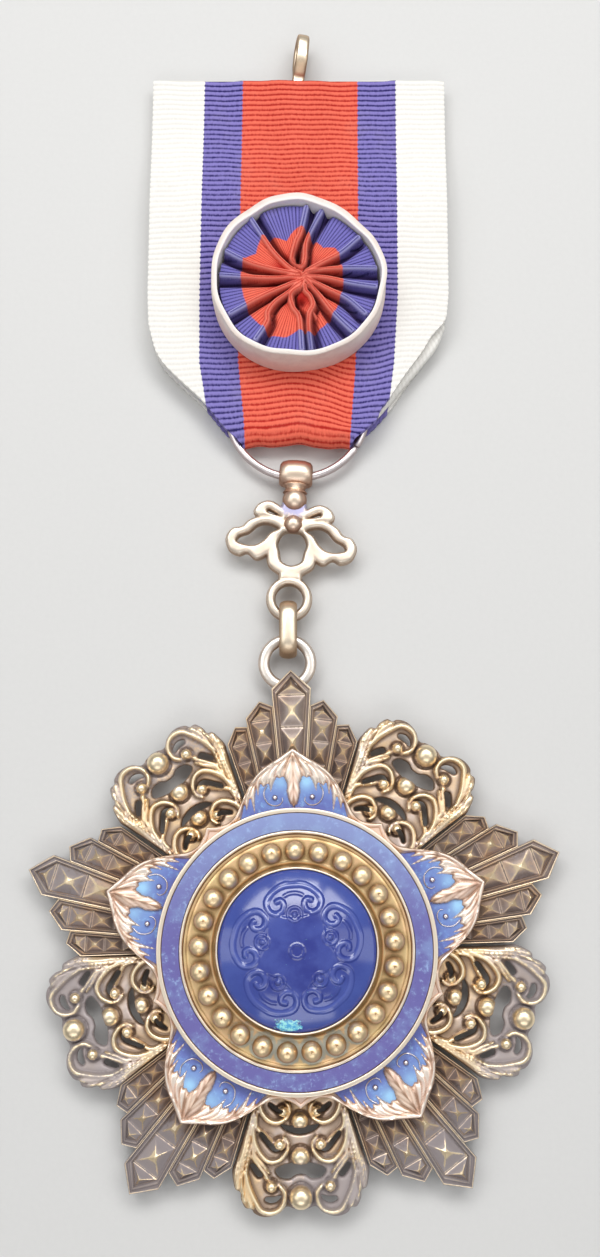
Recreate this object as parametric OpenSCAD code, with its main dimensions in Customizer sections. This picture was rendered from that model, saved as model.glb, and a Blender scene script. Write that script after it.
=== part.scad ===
// Order badge that lies on its back: a folded ribbon with a rosette, a suspension ring, a trefoil
// suspender, a link and a five-rayed star with an enamelled medallion. Millimetres, +Z up, +Y to the hook.

/* [Ribbon] */
// Width of the ribbon
ribbon_w = 37; // [36:0.5:37.5]
// Thickness of the ribbon's wall
ribbon_t = 1; // [0.9:0.05:1]
// Diameter of the rosette's band
rosette_d = 20.8; // [20:0.2:21.4]
// Height of the rosette's band
rosette_h = 4; // [3:0.25:5]
// Number of folds in the rosette
rosette_folds = 15; // [12:1:18]

/* [Suspension] */
// Radius of the suspension ring, to the wire's centre
ring_r = 8.3; // [8.2:0.1:8.4]
// Diameter of the suspension ring's wire
ring_wire = 0.85; // [0.7:0.05:0.9]
// Width of the hook's strip
hook_w = 1.5; // [1.2:0.1:1.8]
// Thickness of the hook's strip
hook_t = 1.1; // [0.9:0.05:1.1]
// Width of the link
link_w = 2.05; // [1.8:0.05:2.1]
// Outer length of the link
link_l = 6.85; // [6.8:0.05:6.9]

/* [Star] */
// Radius of the star, to the tips of the longest rays
star_r = 31.3; // [31:0.1:32]
// How far the star lies turned, in degrees
star_tilt = 1.4; // [0:0.1:3]
// Outer radius of the medallion
medal_r = 15.05; // [15:0.05:15.1]
// Number of beads round the dome
bead_count = 25; // [20:1:25]
// Radius of a bead
bead_r = 1.12; // [0.9:0.02:1.2]
// Radius of the enamel dome
dome_r = 8.4; // [8:0.1:8.45]
// Rise of the enamel dome above its edge
dome_rise = 2.2; // [1.5:0.1:2.6]

/* [Hidden] */
$fn = 48;

function bead_name(k) = str("bead_", k < 10 ? "0" : "", k);

// Stations along the badge, as heights above the star's centre
hook_top = 112.9;
ribbon_top = 106.8;
fold_y = 58.5;
rosette_y = 78;
ring_y = 62.95;
drum_y = 55;
eye_y = 39.75;
star_ring_y = 32.2;

// Sideways places, from the middle of the badge
hook_x = 0.4;
hook_lean = -5;
hook_turn = 9.5;
rosette_x = 0.4;
ring_x = 0.3;
eye_x = -0.65;
star_ring_x = -0.85;

// The star is placed so that the badge's box is centred on the origin: the tip of a cloud panel is lowest
cloud_tip = 27.7;
group_lean = [0, 0.6, -0.5, -0.4, 0.3];
left_tip = 162 + star_tilt + group_lean[1];
right_tip = 18 + star_tilt + group_lean[4];
star_x = -star_r * (cos(left_tip) + cos(right_tip)) / 2;
star_y = (cloud_tip - hook_top) / 2;

// Levels from the surface that the badge lies on
gap = 0.1;
ring_z = 1.6;
wire_z = 2.1;
wire_h = 1.2;
disc_low = 0.9;
ray_low = 1.1;
disc_top = 1.6;
ray_top = 2.35;
ray_rim_top = 2.8;
ray_peak = 3.2;
cloud_low = disc_top + gap;
cloud_top = 3;
plate_low = 3.35;
plate_top = 4;
rims_low = plate_top + gap;
rims_floor = 4.6;
rims_top = 5.4;
bead_floor = 5;

// Curves
function mix(a, b, t) = a + (b - a) * t;
function clamp(t) = max(0, min(1, t));
function ease(low, high, v) = let (t = clamp((v - low) / (high - low))) t * t * (3 - 2 * t);
function polar(r, a) = [r * cos(a), r * sin(a)];
function radial(r, a) = [r * sin(a), r * cos(a)];
function flip(points) = [for (i = [len(points) - 1:-1:0]) [-points[i][0], points[i][1]]];

// A closed smooth curve through the points, with n pieces between each two
function bend(a, b, c, d, t) =
    b + t * (c - a) / 2 + t * t * (a - 2.5 * b + 2 * c - d / 2) + t * t * t * (1.5 * (b - c) + (d - a) / 2);
function smooth(p, n = 3) = let (c = len(p)) [
    for (i = [0:c - 1], j = [0:n - 1]) bend(p[(i + c - 1) % c], p[i], p[(i + 1) % c], p[(i + 2) % c], j / n)
];

module prism(low, high) {
    translate([0, 0, low]) linear_extrude(height = high - low) children();
}
module at_badge(x, y) {
    translate([x, star_y + y, 0]) children();
}
module at_star() {
    translate([star_x, star_y, 0]) rotate([0, 0, star_tilt]) children();
}

// Hook: a bent strip, seen edge-on from the front, that comes out between the ribbon's two panels
hook_bend = 1.35;
hook_strand_z = 3.4;
hook_leg_z = 1.75;
hook_pivot_z = 1.95;
module hook_profile() {
    top = hook_top - hook_bend - hook_t / 2;
    low_z = hook_strand_z - 2 * hook_bend;
    foot = ribbon_top - 8;
    translate([top, hook_strand_z - hook_bend])
        difference() {
            circle(r = hook_bend + hook_t / 2);
            circle(r = hook_bend - hook_t / 2);
            translate([-20, -10]) square([20, 20]);
        }
    polygon([
        [top, hook_strand_z + hook_t / 2], [ribbon_top + 2.2, hook_strand_z + hook_t / 2],
        [ribbon_top + 0.1, hook_leg_z + hook_t / 2], [foot, hook_leg_z + hook_t / 2],
        [foot, hook_leg_z - hook_t / 2], [ribbon_top + 0.5, hook_leg_z - hook_t / 2],
        [ribbon_top + 2.6, hook_strand_z - hook_t / 2], [top, hook_strand_z - hook_t / 2]
    ]);
    translate([ribbon_top + 0.4, low_z - hook_t / 2]) square([top - ribbon_top - 0.4, hook_t]);
}
module hook() {
    pivot = [0, ribbon_top, hook_pivot_z];
    color([0.93, 0.86, 0.76])
        at_badge(hook_x, 0)
            translate(pivot) rotate([0, hook_turn, hook_lean]) translate(-pivot)
                rotate([90, 0, 90]) translate([0, 0, -hook_w / 2])
                    linear_extrude(height = hook_w) hook_profile();
}

// Ribbon: one strip from the top of the front panel, round the fold in the ring and up the back.
// Each row of the table: height above the star's centre, share of the half width at the left and right.
ribbon_edge = [
    [58.4, 0.31, 0.34], [60.4, 0.455, 0.44], [62, 0.52, 0.54], [64.1, 0.61, 0.65], [68.4, 0.855, 0.83],
    [70.1, 0.91, 0.895], [73.5, 0.957, 0.985], [77.5, 0.966, 1.007], [107, 0.966, 1.016]
];
ribbon_left = [for (row = ribbon_edge) [row[0], row[1]]];
ribbon_right = [for (row = ribbon_edge) [row[0], row[2]]];
ribbon_across = 16;
panel_rows = 18;
fold_rows = 6;
panel_gap = 2.25;
function ribbon_x(y, u) = u * ribbon_w / 2 * (u < 0 ? lookup(y, ribbon_left) : lookup(y, ribbon_right));
function fold_at(u) = fold_y + 0.6 * (1 - u * u);
function hook_rise(x, y) = 1.6 * exp(-pow((x - hook_x) / 3.4, 2)) * ease(ribbon_top - 12, ribbon_top - 9, y);
function ripple(x, y) = 0.18 * (1 + sin(45 * (y - 0.35 * x))) * exp(-pow((x - 3) / 6, 2)) * ease(72, 66, y);
function front_z(x, y) =
    mix(panel_gap, 1.15, ease(89, 100, y)) + ribbon_t / 2 + hook_rise(x, y) + ripple(x, y);
// A point on the strip: side is 1 on the outer face and -1 on the inner face
function front_point(k, u, side) =
    let (y = mix(ribbon_top, fold_at(u) + 1.7, k / panel_rows), x = ribbon_x(y, u))
    [x, y, front_z(x, y) + side * ribbon_t / 2];
function fold_point(k, u, side) =
    let (a = 180 * k / fold_rows, y0 = fold_at(u) + 1.7, x = ribbon_x(fold_at(u) + 1.7 * (1 - sin(a)), u),
         mid = (front_z(ribbon_x(y0, u), y0) + ribbon_t / 2) / 2,
         r = mid - ribbon_t / 2 + side * ribbon_t / 2)
    [x, y0 - r * sin(a) * 1.05, mid + r * cos(a)];
function back_point(k, u, side) =
    let (y = mix(fold_at(u) + 1.7, ribbon_top - 0.4, k / panel_rows), x = ribbon_x(y, u))
    [x, y, ribbon_t / 2 - side * ribbon_t / 2];
function strip_point(row, u, side) =
    row <= panel_rows ? front_point(row, u, side)
    : row <= panel_rows + fold_rows ? fold_point(row - panel_rows, u, side)
    : back_point(row - panel_rows - fold_rows, u, side);
module ribbon_strip() {
    rows = 2 * panel_rows + fold_rows;
    n = ribbon_across + 1;
    face = (rows + 1) * n;
    points = [for (side = [1, -1], row = [0:rows], i = [0:ribbon_across])
        strip_point(row, 2 * i / ribbon_across - 1, side)];
    outer = [for (row = [0:rows - 1], i = [0:ribbon_across - 1], half = [0, 1])
        let (a = row * n + i) half == 0 ? [a, a + 1, a + n + 1] : [a, a + n + 1, a + n]];
    inner = [for (f = outer) [f[0] + face, f[2] + face, f[1] + face]];
    ends = [for (row = [0, rows], i = [0:ribbon_across - 1], half = [0, 1])
        let (a = row * n + i, b = a + 1, c = b + face, d = a + face, t = half == 0 ? [a, c, b] : [a, d, c])
        row == 0 ? t : [t[0], t[2], t[1]]];
    edges = [for (i = [0, ribbon_across], row = [0:rows - 1], half = [0, 1])
        let (a = row * n + i, b = a + n, c = b + face, d = a + face, t = half == 0 ? [a, b, c] : [a, c, d])
        i == 0 ? t : [t[0], t[2], t[1]]];
    polyhedron(points = points, faces = concat(outer, inner, ends, edges));
}
// The lower corners are folded in behind the front panel: the outline of the right one
left_fold_in = 1.1;
corner_fold = [[17.4, 70.4], [10.9, 61.7], [10.1, 62.5], [10.3, 66], [12.5, 70.4]];
module ribbon() {
    color([0.93, 0.36, 0.26])
        at_badge(0, 0) {
            ribbon_strip();
            prism(1.15, panel_gap + 0.1) {
                polygon(corner_fold);
                translate([left_fold_in, 0]) polygon(flip(corner_fold));
            }
        }
}

// Rosette: a band that stands round a disc of folded ribbon
rosette_low = panel_gap + ribbon_t + 0.2;
rosette_wall = 1;
function rosette_r(a) = rosette_d / 2 * (1 + 0.01 * cos(3 * a + 45) - 0.035 * exp(-pow((a - 60) / 35, 2)));
module rosette_outline(inset) {
    polygon([for (a = [0:5:355]) polar(rosette_r(a) - inset, a)]);
}
module rosette_band() {
    color([0.92, 0.86, 0.83])
        at_badge(rosette_x, rosette_y)
            prism(rosette_low, rosette_low + rosette_h)
                difference() {
                    rosette_outline(0);
                    rosette_outline(rosette_wall);
                }
}
pleat_rings = 4;
pleat_step = 4;
function pleat_z(r, a) = rosette_low + rosette_h - 1.1
    + 0.55 * sin(rosette_folds * a + 30 * sin(2 * a)) * ease(0.1, 0.8, r) - 0.5 * ease(0.8, 0, r);
module rosette_pleats() {
    spokes = 360 / pleat_step;
    base = pleat_rings * spokes + 1;
    rim = [for (a = [0:pleat_step:359]) rosette_r(a) - rosette_wall - gap];
    top = [for (k = [1:pleat_rings], i = [0:spokes - 1]) let (a = i * pleat_step, s = k / pleat_rings)
        [rim[i] * s * cos(a), rim[i] * s * sin(a), pleat_z(s, a)]];
    bottom = [for (i = [0:spokes - 1])
        let (a = i * pleat_step) [rim[i] * cos(a), rim[i] * sin(a), rosette_low]];
    last = (pleat_rings - 1) * spokes;
    centre = [for (i = [0:spokes - 1]) [0, 1 + (i + 1) % spokes, 1 + i]];
    bands = [for (k = [0:pleat_rings - 2], i = [0:spokes - 1], half = [0, 1])
        let (a = 1 + k * spokes + i, b = 1 + k * spokes + (i + 1) % spokes)
        half == 0 ? [a, b, b + spokes] : [a, b + spokes, a + spokes]];
    wall = [for (i = [0:spokes - 1], half = [0, 1])
        let (a = 1 + last + i, b = 1 + last + (i + 1) % spokes, c = base + (i + 1) % spokes, d = base + i)
        half == 0 ? [a, b, c] : [a, c, d]];
    floor = [for (i = [0:spokes - 1]) base + i];
    color([0.85, 0.2, 0.16])
        at_badge(rosette_x, rosette_y)
            polyhedron(points = concat([[0, 0, pleat_z(0, 0)]], top, bottom),
                faces = concat(centre, bands, wall, [floor]));
}

// Suspension ring, with the joint of its wire at the right
module suspension_ring() {
    color([0.85, 0.84, 0.82])
        at_badge(ring_x, ring_y)
            translate([0, 0, ring_z]) rotate([0, 0, -32])
                rotate_extrude(angle = 359) translate([ring_r, 0]) circle(d = ring_wire);
}

// Trefoil suspender: points are millimetres from the eye's centre before the suspender's lean
trefoil_lean = 3;
drum_l = 4;
drum_d = 3.4;
drum_bore = 0.85;
bore_drop = 0.33;
eye_r = 2.7;
eye_hole = 1.6;
drum_h = drum_y - eye_y;
left_outer = [[-0.6, 9.2], [-1.8, 9.8], [-3.8, 9.9], [-5.3, 9.3], [-6.1, 8.5], [-7.2, 8.2], [-7.9, 7.0],
    [-7.4, 5.5], [-6.2, 4.9], [-5.2, 5.2], [-4.2, 4.5], [-3.1, 4.9], [-2.0, 6.0]];
left_hole = [[-1.6, 8.4], [-3.0, 9.0], [-4.2, 8.7], [-5.2, 7.8], [-6.3, 7.3], [-6.6, 6.6], [-5.6, 6.2],
    [-4.4, 6.2], [-3.4, 6.8], [-2.6, 7.8]];
small_outer = [[-0.6, 10.2], [-1.6, 11.2], [-2.9, 11.8], [-4.2, 11.4], [-4.8, 10.4], [-4.2, 9.6], [-2.8, 9.6],
    [-1.2, 9.2]];
small_hole = [[-1.4, 9.85], [-2.8, 10.7], [-3.2, 10.55], [-2.9, 10.15]];
middle_outer = [[0, 8.8], [1.7, 8.6], [2.9, 7.0], [3.0, 5.4], [2.7, 3.9], [1.6, 3.0], [0, 2.2], [-1.6, 3.0],
    [-2.7, 3.9], [-3.0, 5.4], [-2.9, 7.0], [-1.7, 8.6]];
middle_hole = [[0, 8.1], [1.1, 7.9], [1.75, 6.7], [1.5, 5.5], [1.2, 4.4], [0, 3.9], [-1.2, 4.4], [-1.5, 5.5],
    [-1.75, 6.7], [-1.1, 7.9]];
// The petals of the right side hang lower than those of the left
right_droop = -5;
droop_pivot = [0, 9.3];
module petal_pair() {
    children();
    translate(droop_pivot) rotate(right_droop) translate(-droop_pivot) mirror([1, 0]) children();
}
module trefoil_plate() {
    difference() {
        union() {
            petal_pair() {
                polygon(smooth(left_outer));
                polygon(smooth(small_outer));
            }
            polygon(smooth(middle_outer));
            translate([-1.4, 2.0]) square([2.8, 1.4]);
            translate([-1.0, 8.4]) square([2.0, drum_h - 9.9]);
            circle(r = eye_r);
        }
        petal_pair() {
            polygon(smooth(left_hole));
            polygon(smooth(small_hole));
        }
        polygon(smooth(middle_hole));
        circle(r = eye_hole);
    }
}
module trefoil() {
    drum_z = drum_d / 2 + 0.02;
    color([0.9, 0.8, 0.66])
        at_badge(eye_x, eye_y) rotate([0, 0, -trefoil_lean]) {
            prism(wire_z - wire_h / 2, wire_z + wire_h / 2) trefoil_plate();
            translate([0, drum_h - 3.3, wire_z]) sphere(r = 1.45);
            translate([0, drum_h - 6.3, wire_z]) sphere(r = 1.1);
            difference() {
                translate([-drum_l / 2, drum_h, drum_z]) rotate([0, 90, 0]) cylinder(h = drum_l, d = drum_d);
                translate([-drum_l, drum_h - bore_drop, ring_z])
                    rotate([0, 90, 0]) cylinder(h = 2 * drum_l, r = drum_bore);
            }
        }
}

// Link: a band bent into an oval that stands on edge, through the trefoil's eye and the star's ring
link_t = 1.05;
link_h = 4.2;
link_rise = 0.12;
link_section = [[0, 0.45], [0.4, 0], [link_t - 0.3, 0], [link_t, 0.4], [link_t, link_w - 0.4],
    [link_t - 0.3, link_w], [0.4, link_w], [0, link_w - 0.45]];
module link_profile() {
    translate([link_h / 2 - link_t, -link_w / 2]) polygon(link_section);
}
module link() {
    straight = link_l - link_h;
    color([0.86, 0.66, 0.5])
        at_badge((eye_x + star_ring_x) / 2, (eye_y + star_ring_y) / 2 + link_rise)
            translate([0, 0, link_h / 2]) rotate([90, 0, 90])
                for (side = [0, 1]) {
                    mirror([side, 0, 0]) translate([straight / 2, 0, 0])
                        rotate([0, 0, -90]) rotate_extrude(angle = 180) link_profile();
                    mirror([0, side, 0]) rotate([90, 0, 90]) translate([0, 0, -straight / 2])
                        linear_extrude(height = straight) link_profile();
                }
}

// Rays: each row holds the inner and outer side angles, the angle of the tip, and the radii of the
// inner corner, the tip and the outer corner. Angles are from the group's axis.
ray_inner = 0;
ray_outer = 1;
ray_tip = 2;
ray_inner_r = 3;
ray_tip_r = 4;
ray_outer_r = 5;
rays = [
    [-4.5, 4.5, 0, star_r - 2.1, star_r, star_r - 2.1],
    [4.5, 11.6, 7.6, star_r - 4.1, star_r - 3.35, star_r - 5],
    [11.6, 18, 14.7, star_r - 6, star_r - 5.65, star_r - 7.3]
];
ray_root = 9;
ray_border = 0.42;
function inset_angle(inset, r) = inset / r * 180 / PI;
function ray_shape(ray, inset, root) = [
    radial(root, ray[ray_inner] + inset_angle(inset, root)),
    radial(ray[ray_inner_r] - 1.2 * inset, ray[ray_inner] + inset_angle(inset, ray[ray_inner_r])),
    radial(ray[ray_tip_r] - 1.5 * inset, ray[ray_tip]),
    radial(ray[ray_outer_r] - 1.2 * inset, ray[ray_outer] - inset_angle(inset, ray[ray_outer_r])),
    radial(root, ray[ray_outer] - inset_angle(inset, root))
];
// A pyramid between two radii of a ray, and one facet under the ray's tip
module peak(points, centre, low, high) {
    n = len(points);
    polyhedron(
        points = concat([for (p = points) [p[0], p[1], low]], [[centre[0], centre[1], high]]),
        faces = concat([[for (i = [n - 1:-1:0]) i]], [for (i = [0:n - 1]) [i, (i + 1) % n, n]])
    );
}
module ray_peaks(ray) {
    edge = ray_border + 0.05;
    middle = (ray[ray_inner] + ray[ray_outer]) / 2;
    corner = min(ray[ray_inner_r], ray[ray_outer_r]) - 1.6 * edge;
    step = 3;
    low = ray_top - 0.05;
    for (k = [0:1]) {
        top = corner - 0.1 - k * step;
        root = top - step + 0.1;
        centre = radial((top + root) / 2, middle);
        outline = [
            radial(root, ray[ray_inner] + inset_angle(edge, root)),
            radial(top, ray[ray_inner] + inset_angle(edge, top)),
            radial(top, ray[ray_outer] - inset_angle(edge, top)),
            radial(root, ray[ray_outer] - inset_angle(edge, root))
        ];
        peak(outline, centre, low, ray_peak);
    }
    crest = radial(mix(corner, ray[ray_tip_r] - 2 * edge, 0.45), mix(middle, ray[ray_tip], 0.5));
    peak([
        radial(corner, ray[ray_inner] + inset_angle(edge, corner)),
        radial(ray[ray_tip_r] - 2 * edge, ray[ray_tip]),
        radial(corner, ray[ray_outer] - inset_angle(edge, corner))
    ], crest, low, ray_peak - 0.2);
}
function ray_crown(ray) = [
    radial(ray[ray_inner_r], ray[ray_inner]), radial(ray[ray_tip_r], ray[ray_tip]),
    radial(ray[ray_outer_r], ray[ray_outer])
];
module group_outline() {
    side = concat(ray_crown(rays[1]), ray_crown(rays[2]), [radial(ray_root, rays[2][ray_outer])]);
    polygon(concat(flip(side), ray_crown(rays[0]), side));
}
module ray_group() {
    prism(ray_low, ray_top) group_outline();
    prism(ray_top - 0.05, ray_rim_top)
        difference() {
            group_outline();
            polygon(ray_shape(rays[0], ray_border, ray_root - 1));
            for (side = [0, 1], k = [1, 2]) mirror([side, 0])
                polygon(ray_shape(rays[k], ray_border, ray_root - 1));
        }
    ray_peaks(rays[0]);
    for (side = [0, 1], k = [1, 2]) mirror([side, 0, 0]) ray_peaks(rays[k]);
}
back_r = 10;
disc_r = 16.2;
post_r = 9;
star_ring_out = 3.35;
star_ring_hole = 2.15;
module star_rays() {
    color([0.72, 0.63, 0.55]) {
        at_star() {
            cylinder(h = disc_low + 0.1, r = back_r);
            prism(disc_low, disc_top) circle(r = disc_r);
            cylinder(h = plate_low - gap, r = post_r);
            for (k = [0:4]) rotate([0, 0, 72 * k + group_lean[k]]) ray_group();
        }
        at_badge(star_ring_x, star_ring_y)
            prism(wire_z - wire_h / 2, wire_z + 0.2)
                difference() {
                    circle(r = star_ring_out);
                    circle(r = star_ring_hole);
                }
    }
}

// Cloud panels: points are millimetres from the star's centre, with the panel's axis upwards
cloud_side = 17;
cloud_shift = 0.15;
cloud_half = [radial(13.5, cloud_side), [5.2, 17.2], [6.1, 20.2], [6.95, 23.2], [7.3, 24.3], [7.15, 25.3],
    [6.6, 25.5], [6.2, 26.3], [5.6, 26.8], [4.9, 26.8], [4.0, 27.4], [2.9, 27.3], [1.9, 26.6], [1.1, 27.3]];
cloud_outline = concat(cloud_half, [[0, cloud_tip - cloud_shift]], flip(cloud_half));
big_gap = [[-2.7, 23.5], [-1.9, 24.6], [-1.0, 24.9], [1.0, 24.9], [1.9, 24.6], [2.7, 23.5], [1.8, 22.7],
    [-1.8, 22.7]];
crescent = [[-2.1, 19.4], [-1.2, 20.3], [0, 20.55], [1.2, 20.3], [2.1, 19.4], [0.9, 19.6], [-0.9, 19.6]];
curl_gap = [[2.2, 25.6], [2.5, 26.4], [3.2, 26.7], [3.9, 26.2], [3.3, 26.0], [2.8, 25.8]];
outer_slot = [[3.5, 24.6], [3.9, 24.9], [4.5, 24.3], [5.0, 23.5], [4.6, 23.2], [4.0, 23.9]];
middle_slot = [[2.1, 21.9], [2.4, 22.5], [3.0, 22.3], [3.7, 21.3], [4.1, 20.4], [3.6, 20.2], [3.1, 21.0],
    [2.6, 21.7]];
lower_slot = [[2.2, 17.9], [2.5, 18.5], [3.2, 18.2], [3.8, 17.4], [3.3, 17.1], [2.7, 17.7]];
// Each row: sideways place, distance from the star's centre, radius
middle_balls = [[0, 26.3, 1.25], [0, 21.7, 0.95], [0, 18.5, 0.85]];
side_balls = [[2.85, 24.75, 0.65], [1.95, 20.75, 0.6], [1.95, 17.3, 0.5]];
// Each row of a curl: centre, outer radius, inner radius, angles of its start and end
curls = [
    [[3.1, 25.5], 1.75, 1.15, -40, 200],
    [[2.75, 21.1], 1.65, 1.1, -20, 200],
    [[2.8, 17.5], 1.4, 0.9, 0, 200]
];
module curl(row) {
    steps = 8;
    outer = [for (i = [0:steps]) row[0] + polar(row[1], mix(row[3], row[4], i / steps))];
    inner = [for (i = [steps:-1:0]) row[0] + polar(row[2], mix(row[3], row[4], i / steps))];
    polygon(concat(outer, inner));
}
// A ridge of a leaf, from its root to its tip
module ridge(root, tip, half_w) {
    side = [tip[1] - root[1], root[0] - tip[0]];
    across = side * half_w / norm(side);
    polygon([root, mix(root, tip, 0.5) + across, tip, mix(root, tip, 0.5) - across]);
}
module cloud_panel() {
    prism(cloud_low, cloud_top)
        difference() {
            polygon(cloud_outline);
            polygon(smooth(big_gap, 2));
            polygon(smooth(crescent, 2));
            for (side = [0, 1]) mirror([side, 0])
                for (slot = [curl_gap, outer_slot, middle_slot, lower_slot]) polygon(smooth(slot, 2));
        }
    for (side = [0, 1]) mirror([side, 0, 0]) {
        prism(cloud_top - 0.05, cloud_top + 0.4) for (row = curls) curl(row);
        prism(cloud_top - 0.05, cloud_top + 0.3) {
            ridge([5.0, 18.0], [6.6, 25.2], 0.4);
            ridge([4.5, 20.6], [5.7, 26.4], 0.35);
        }
        for (ball = side_balls) translate([ball[0], ball[1], cloud_top - 0.1]) sphere(r = ball[2]);
    }
    for (ball = middle_balls) translate([ball[0], ball[1], cloud_top - 0.3]) sphere(r = ball[2]);
}
module cloud(k) {
    lean = (group_lean[k % 5] + group_lean[(k + 1) % 5]) / 2;
    color([0.8, 0.68, 0.5]) at_star() rotate([0, 0, 36 + 72 * k + lean])
        translate([0, cloud_shift, 0]) cloud_panel();
}

// Petal plate: a row holds the angle from a point's axis and the radius there
petal_rows = [[0, 22.1], [4.7, 21.05], [9.7, 20.2], [13.7, 19.2], [17.4, 18], [20.9, 16.9], [24.5, 16.05],
    [28.5, 15.75], [33, 16.1], [36, 16.7]];
petal_rim = 0.55;
function petal_half(inset) = [for (row = petal_rows) radial(row[1] - inset, row[0])];
function petal_outline(inset) = [
    for (k = [0:4], side = [0, 1], i = [0:len(petal_rows) - 2])
        let (row = petal_rows[side == 0 ? i : len(petal_rows) - 1 - i], a = side == 0 ? row[0] : 72 - row[0])
        radial(row[1] - inset, a + 72 * k)
];
leaf_half = [[0, 20.9], [0.45, 20.3], [0.9, 18.8], [0.75, 17.3], [0.45, 16]];
tongue_near = [[0.9, 20.5], [2.6, 19.8], [2.9, 18.6], [2.65, 17.4], [2.1, 18.2], [1.5, 18.9]];
tongue_far = [[2.8, 19.8], [4.2, 18.8], [4.6, 17.6], [4.2, 16.9], [3.8, 17.6], [3.3, 18.2]];
module petal_plate() {
    color([0.89, 0.76, 0.65])
        at_star() {
            prism(plate_low, plate_top) polygon(petal_outline(0));
            prism(plate_top - 0.05, plate_top + 0.35)
                difference() {
                    polygon(petal_outline(0));
                    polygon(petal_outline(petal_rim));
                    circle(r = medal_r + gap);
                }
            for (k = [0:4]) rotate([0, 0, 72 * k])
                prism(plate_top - 0.05, plate_top + 0.5) {
                    polygon(concat(leaf_half, [[0, 15.8]], flip(leaf_half)));
                    for (side = [0, 1]) mirror([side, 0]) {
                        polygon(tongue_near);
                        polygon(tongue_far);
                    }
                }
        }
}
bay_half = [[0, 15.55], [0.65, 16.2], [0.9, 17.3], [1.05, 18.3], [1.45, 18.65], [2.0, 17.9], [2.65, 17.0],
    [3.3, 17.7], [3.7, 17.3], [4.2, 16.6], [4.7, 16.4], [5.1, 15.4], [5.3, 14.6], [4.5, 14.65], [2.7, 15.05],
    [0, 15.2]];
module petal_enamel(k) {
    color([0.3, 0.42, 0.78])
        at_star() rotate([0, 0, 72 * k])
            prism(plate_top + 0.05, plate_top + 0.3) polygon(concat(bay_half, flip(bay_half)));
}

// Medallion
enamel_out = medal_r - 0.7;
enamel_in = medal_r - 2.45;
tray_r = enamel_in - 0.65;
module medallion_rims() {
    color([0.88, 0.77, 0.62])
        at_star()
            rotate_extrude()
                polygon([
                    [0, rims_low], [medal_r, rims_low], [medal_r, rims_top - 0.2], [medal_r - 0.2, rims_top],
                    [enamel_out + 0.1, rims_top], [enamel_out, rims_floor],
                    [enamel_in, rims_floor], [enamel_in - 0.1, rims_top],
                    [tray_r + 0.1, rims_top], [tray_r, rims_floor], [0, rims_floor]
                ]);
}
module enamel_ring() {
    color([0.35, 0.35, 0.72])
        at_star()
            prism(rims_floor + 0.05, rims_top - 0.15)
                difference() {
                    circle(r = enamel_out - 0.02);
                    circle(r = enamel_in + 0.02);
                }
}
module bead_plate() {
    color([0.8, 0.64, 0.38])
        at_star() prism(rims_floor + 0.05, bead_floor) circle(r = tray_r - 0.05);
}
bead_ring_r = 10.83;
module bead(k) {
    color([0.78, 0.58, 0.32])
        at_star() rotate([0, 0, 360 / bead_count * (k - 1)])
            translate([0, bead_ring_r, bead_floor + gap + bead_r]) sphere(r = bead_r);
}
dome_rim_w = 0.4;
dome_edge = 6.1;
module dome_rim() {
    color([0.85, 0.7, 0.45])
        at_star()
            prism(bead_floor + 0.05, dome_edge)
                difference() {
                    circle(r = dome_r + 0.05 + dome_rim_w);
                    circle(r = dome_r + 0.05);
                }
}
module dome() {
    ball_r = (dome_r * dome_r + dome_rise * dome_rise) / (2 * dome_rise);
    arc = asin(dome_r / ball_r);
    steps = 12;
    top = dome_edge + dome_rise;
    color([0.12, 0.18, 0.5])
        at_star()
            rotate_extrude()
                polygon(concat([[0, bead_floor + 0.05], [dome_r, bead_floor + 0.05]],
                    [for (i = [steps:-1:0]) let (a = arc * i / steps)
                        [ball_r * sin(a), top - ball_r * (1 - cos(a))]]));
}

hook();
ribbon();
rosette_band();
rosette_pleats();
suspension_ring();
trefoil();
link();
star_rays();
for (k = [1:5]) cloud(k);
petal_plate();
for (k = [1:5]) petal_enamel(k);
medallion_rims();
enamel_ring();
bead_plate();
for (k = [1:25]) bead(k);
dome_rim();
dome();
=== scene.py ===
# %% [markdown]
# # An order badge, dressed round its solids
# The badge hangs a rayed, enamelled star from a folded ribbon with a rosette. Its solids come from the packed
# model, and they are never moved. Each piece here is a finer skin that stands for one or more of them: it is
# worked out in millimetres, with arrays, and written into a mesh once.

import math

import bmesh
import bpy
import numpy as np
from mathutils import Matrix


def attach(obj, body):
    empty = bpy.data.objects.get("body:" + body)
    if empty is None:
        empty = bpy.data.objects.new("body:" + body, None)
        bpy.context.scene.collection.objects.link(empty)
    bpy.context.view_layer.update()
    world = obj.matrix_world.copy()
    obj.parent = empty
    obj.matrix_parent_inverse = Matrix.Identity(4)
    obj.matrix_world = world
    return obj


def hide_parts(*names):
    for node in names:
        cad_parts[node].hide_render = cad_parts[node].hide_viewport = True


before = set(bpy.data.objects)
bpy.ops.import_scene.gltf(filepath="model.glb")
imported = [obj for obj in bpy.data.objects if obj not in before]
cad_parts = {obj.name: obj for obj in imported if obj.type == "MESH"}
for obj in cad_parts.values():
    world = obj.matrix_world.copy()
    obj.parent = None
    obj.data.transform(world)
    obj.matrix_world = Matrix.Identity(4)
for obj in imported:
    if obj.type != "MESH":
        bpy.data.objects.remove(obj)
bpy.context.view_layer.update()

# %% [markdown]
# ## Where things are
# The star's centre is the origin of most of the metalwork, and the star lies turned by a degree or so. Heights
# are above the surface that the badge lies on. They repeat the levels of the solids, so that each skin sits
# where its solid does.

# %% Places and levels, in millimetres
MM = 0.001
STAR_X, STAR_Y, STAR_TILT = 0.31, -42.6, 1.4
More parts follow.
